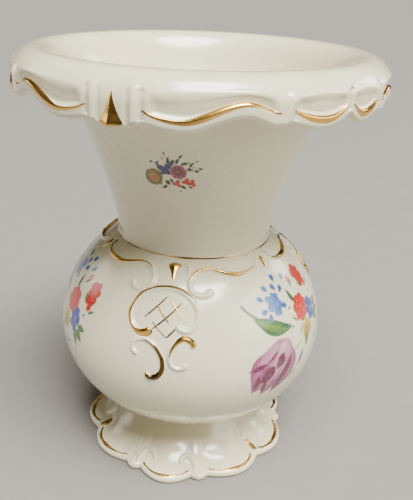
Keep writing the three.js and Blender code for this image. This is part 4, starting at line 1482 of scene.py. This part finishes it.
# %% Camera
EYE_AZIMUTH = 10.5  # degrees round from the front
EYE_DISTANCE = 331.75
EYE_HEIGHT = 256.6
LOOK_DOWN = 23.63  # degrees below level
LOOK_LEFT = 1.07  # degrees to the left of the vase's axis
ROLL = 2.09  # degrees that the camera leans

camera_data = bpy.data.cameras.new("camera")
camera_data.lens = 47.17
camera_data.sensor_width = 36
camera_data.shift_x = 0.05
camera_data.clip_start = 0.01
camera = bpy.data.objects.new("camera", camera_data)
bpy.context.scene.collection.objects.link(camera)
eye = around(EYE_AZIMUTH, EYE_DISTANCE, EYE_HEIGHT) * MM
aim = Matrix.Rotation(math.radians(EYE_AZIMUTH + LOOK_LEFT), 4, "Z")
tilt = Matrix.Rotation(math.radians(90 - LOOK_DOWN), 4, "X")
lean = Matrix.Rotation(math.radians(ROLL), 4, "Z")
camera.matrix_world = Matrix.Translation(eye) @ aim @ tilt @ lean
bpy.context.scene.camera = camera
print(f"camera {EYE_DISTANCE:.0f} mm away and {EYE_HEIGHT:.0f} mm up")

# %% Lights
VASE_MIDDLE = 100.0


def face_the_vase(lamp, place):
    """Puts a light at a place in mm and turns it to the middle of the vase."""
    back = np.array([0, 0, VASE_MIDDLE]) - place
    lamp.location = place * MM
    tilt = math.atan2(math.hypot(back[0], back[1]), -back[2])
    lamp.rotation_euler = (tilt, 0, math.atan2(-back[0], back[1]))
    bpy.context.scene.collection.objects.link(lamp)


def soft_panel(name, azimuth, distance, height, size, power, colour):
    """A rectangular area light that faces the vase."""
    light = bpy.data.lights.new(name, "AREA")
    light.shape = "RECTANGLE"
    light.size, light.size_y = (side * MM for side in size)
    light.energy = power
    light.color = colour
    face_the_vase(bpy.data.objects.new(name, light), around(azimuth, distance, height))


def broad_light(name, azimuth, distance, height, width, strength, colour):
    """A far light that is as wide in the sky as the given number of degrees, so its shadows are soft."""
    light = bpy.data.lights.new(name, "SUN")
    light.angle = math.radians(width)
    light.energy = strength
    light.color = colour
    face_the_vase(bpy.data.objects.new(name, light), around(azimuth, distance, height))


broad_light("overhead", 32, 470, 1300, 36, 10.5, (1.0, 0.99, 0.96))
soft_panel("window_right", 78, 1150, 650, (900, 700), 8.0, (1.0, 0.98, 0.94))
soft_panel("window_behind", 131, 1200, 620, (330, 330), 3.0, (1.0, 0.98, 0.95))
soft_panel("window_left", -97, 1100, 470, (460, 400), 1.6, (1.0, 0.92, 0.82))

world = bpy.data.worlds.new("studio")
world.use_nodes = True
background = world.node_tree.nodes["Background"]
background.inputs["Color"].default_value = (1.0, 0.97, 0.92, 1)
background.inputs["Strength"].default_value = 0.05
bpy.context.scene.world = world

# %% Floor
FLOOR_REACH = 30.0  # metres, so that its far edge stays out of sight
corners = [(-1, -1), (1, -1), (1, 1), (-1, 1)]
floor_mesh = bpy.data.meshes.new("floor")
floor_mesh.from_pydata([(x * FLOOR_REACH, y * FLOOR_REACH, 0) for x, y in corners], [], [(0, 1, 2, 3)])
floor = bpy.data.objects.new("floor", floor_mesh)
bpy.context.scene.collection.objects.link(floor)
paper, paper_tree, paper_shader, paper_place = new_material("pale_floor")
mottle = noise(paper_tree, paper_place.outputs["Object"], 60, 4).outputs[0]
paper_tint = mix_colour(paper_tree, mottle, (0.2, 0.19, 0.172, 1), (0.225, 0.215, 0.195, 1))
paper_tree.links.new(paper_tint, paper_shader.inputs["Base Color"])
paper_shader.inputs["Roughness"].default_value = 0.75
floor.data.materials.append(paper)
print(f"floor {2 * FLOOR_REACH:.0f} m wide")
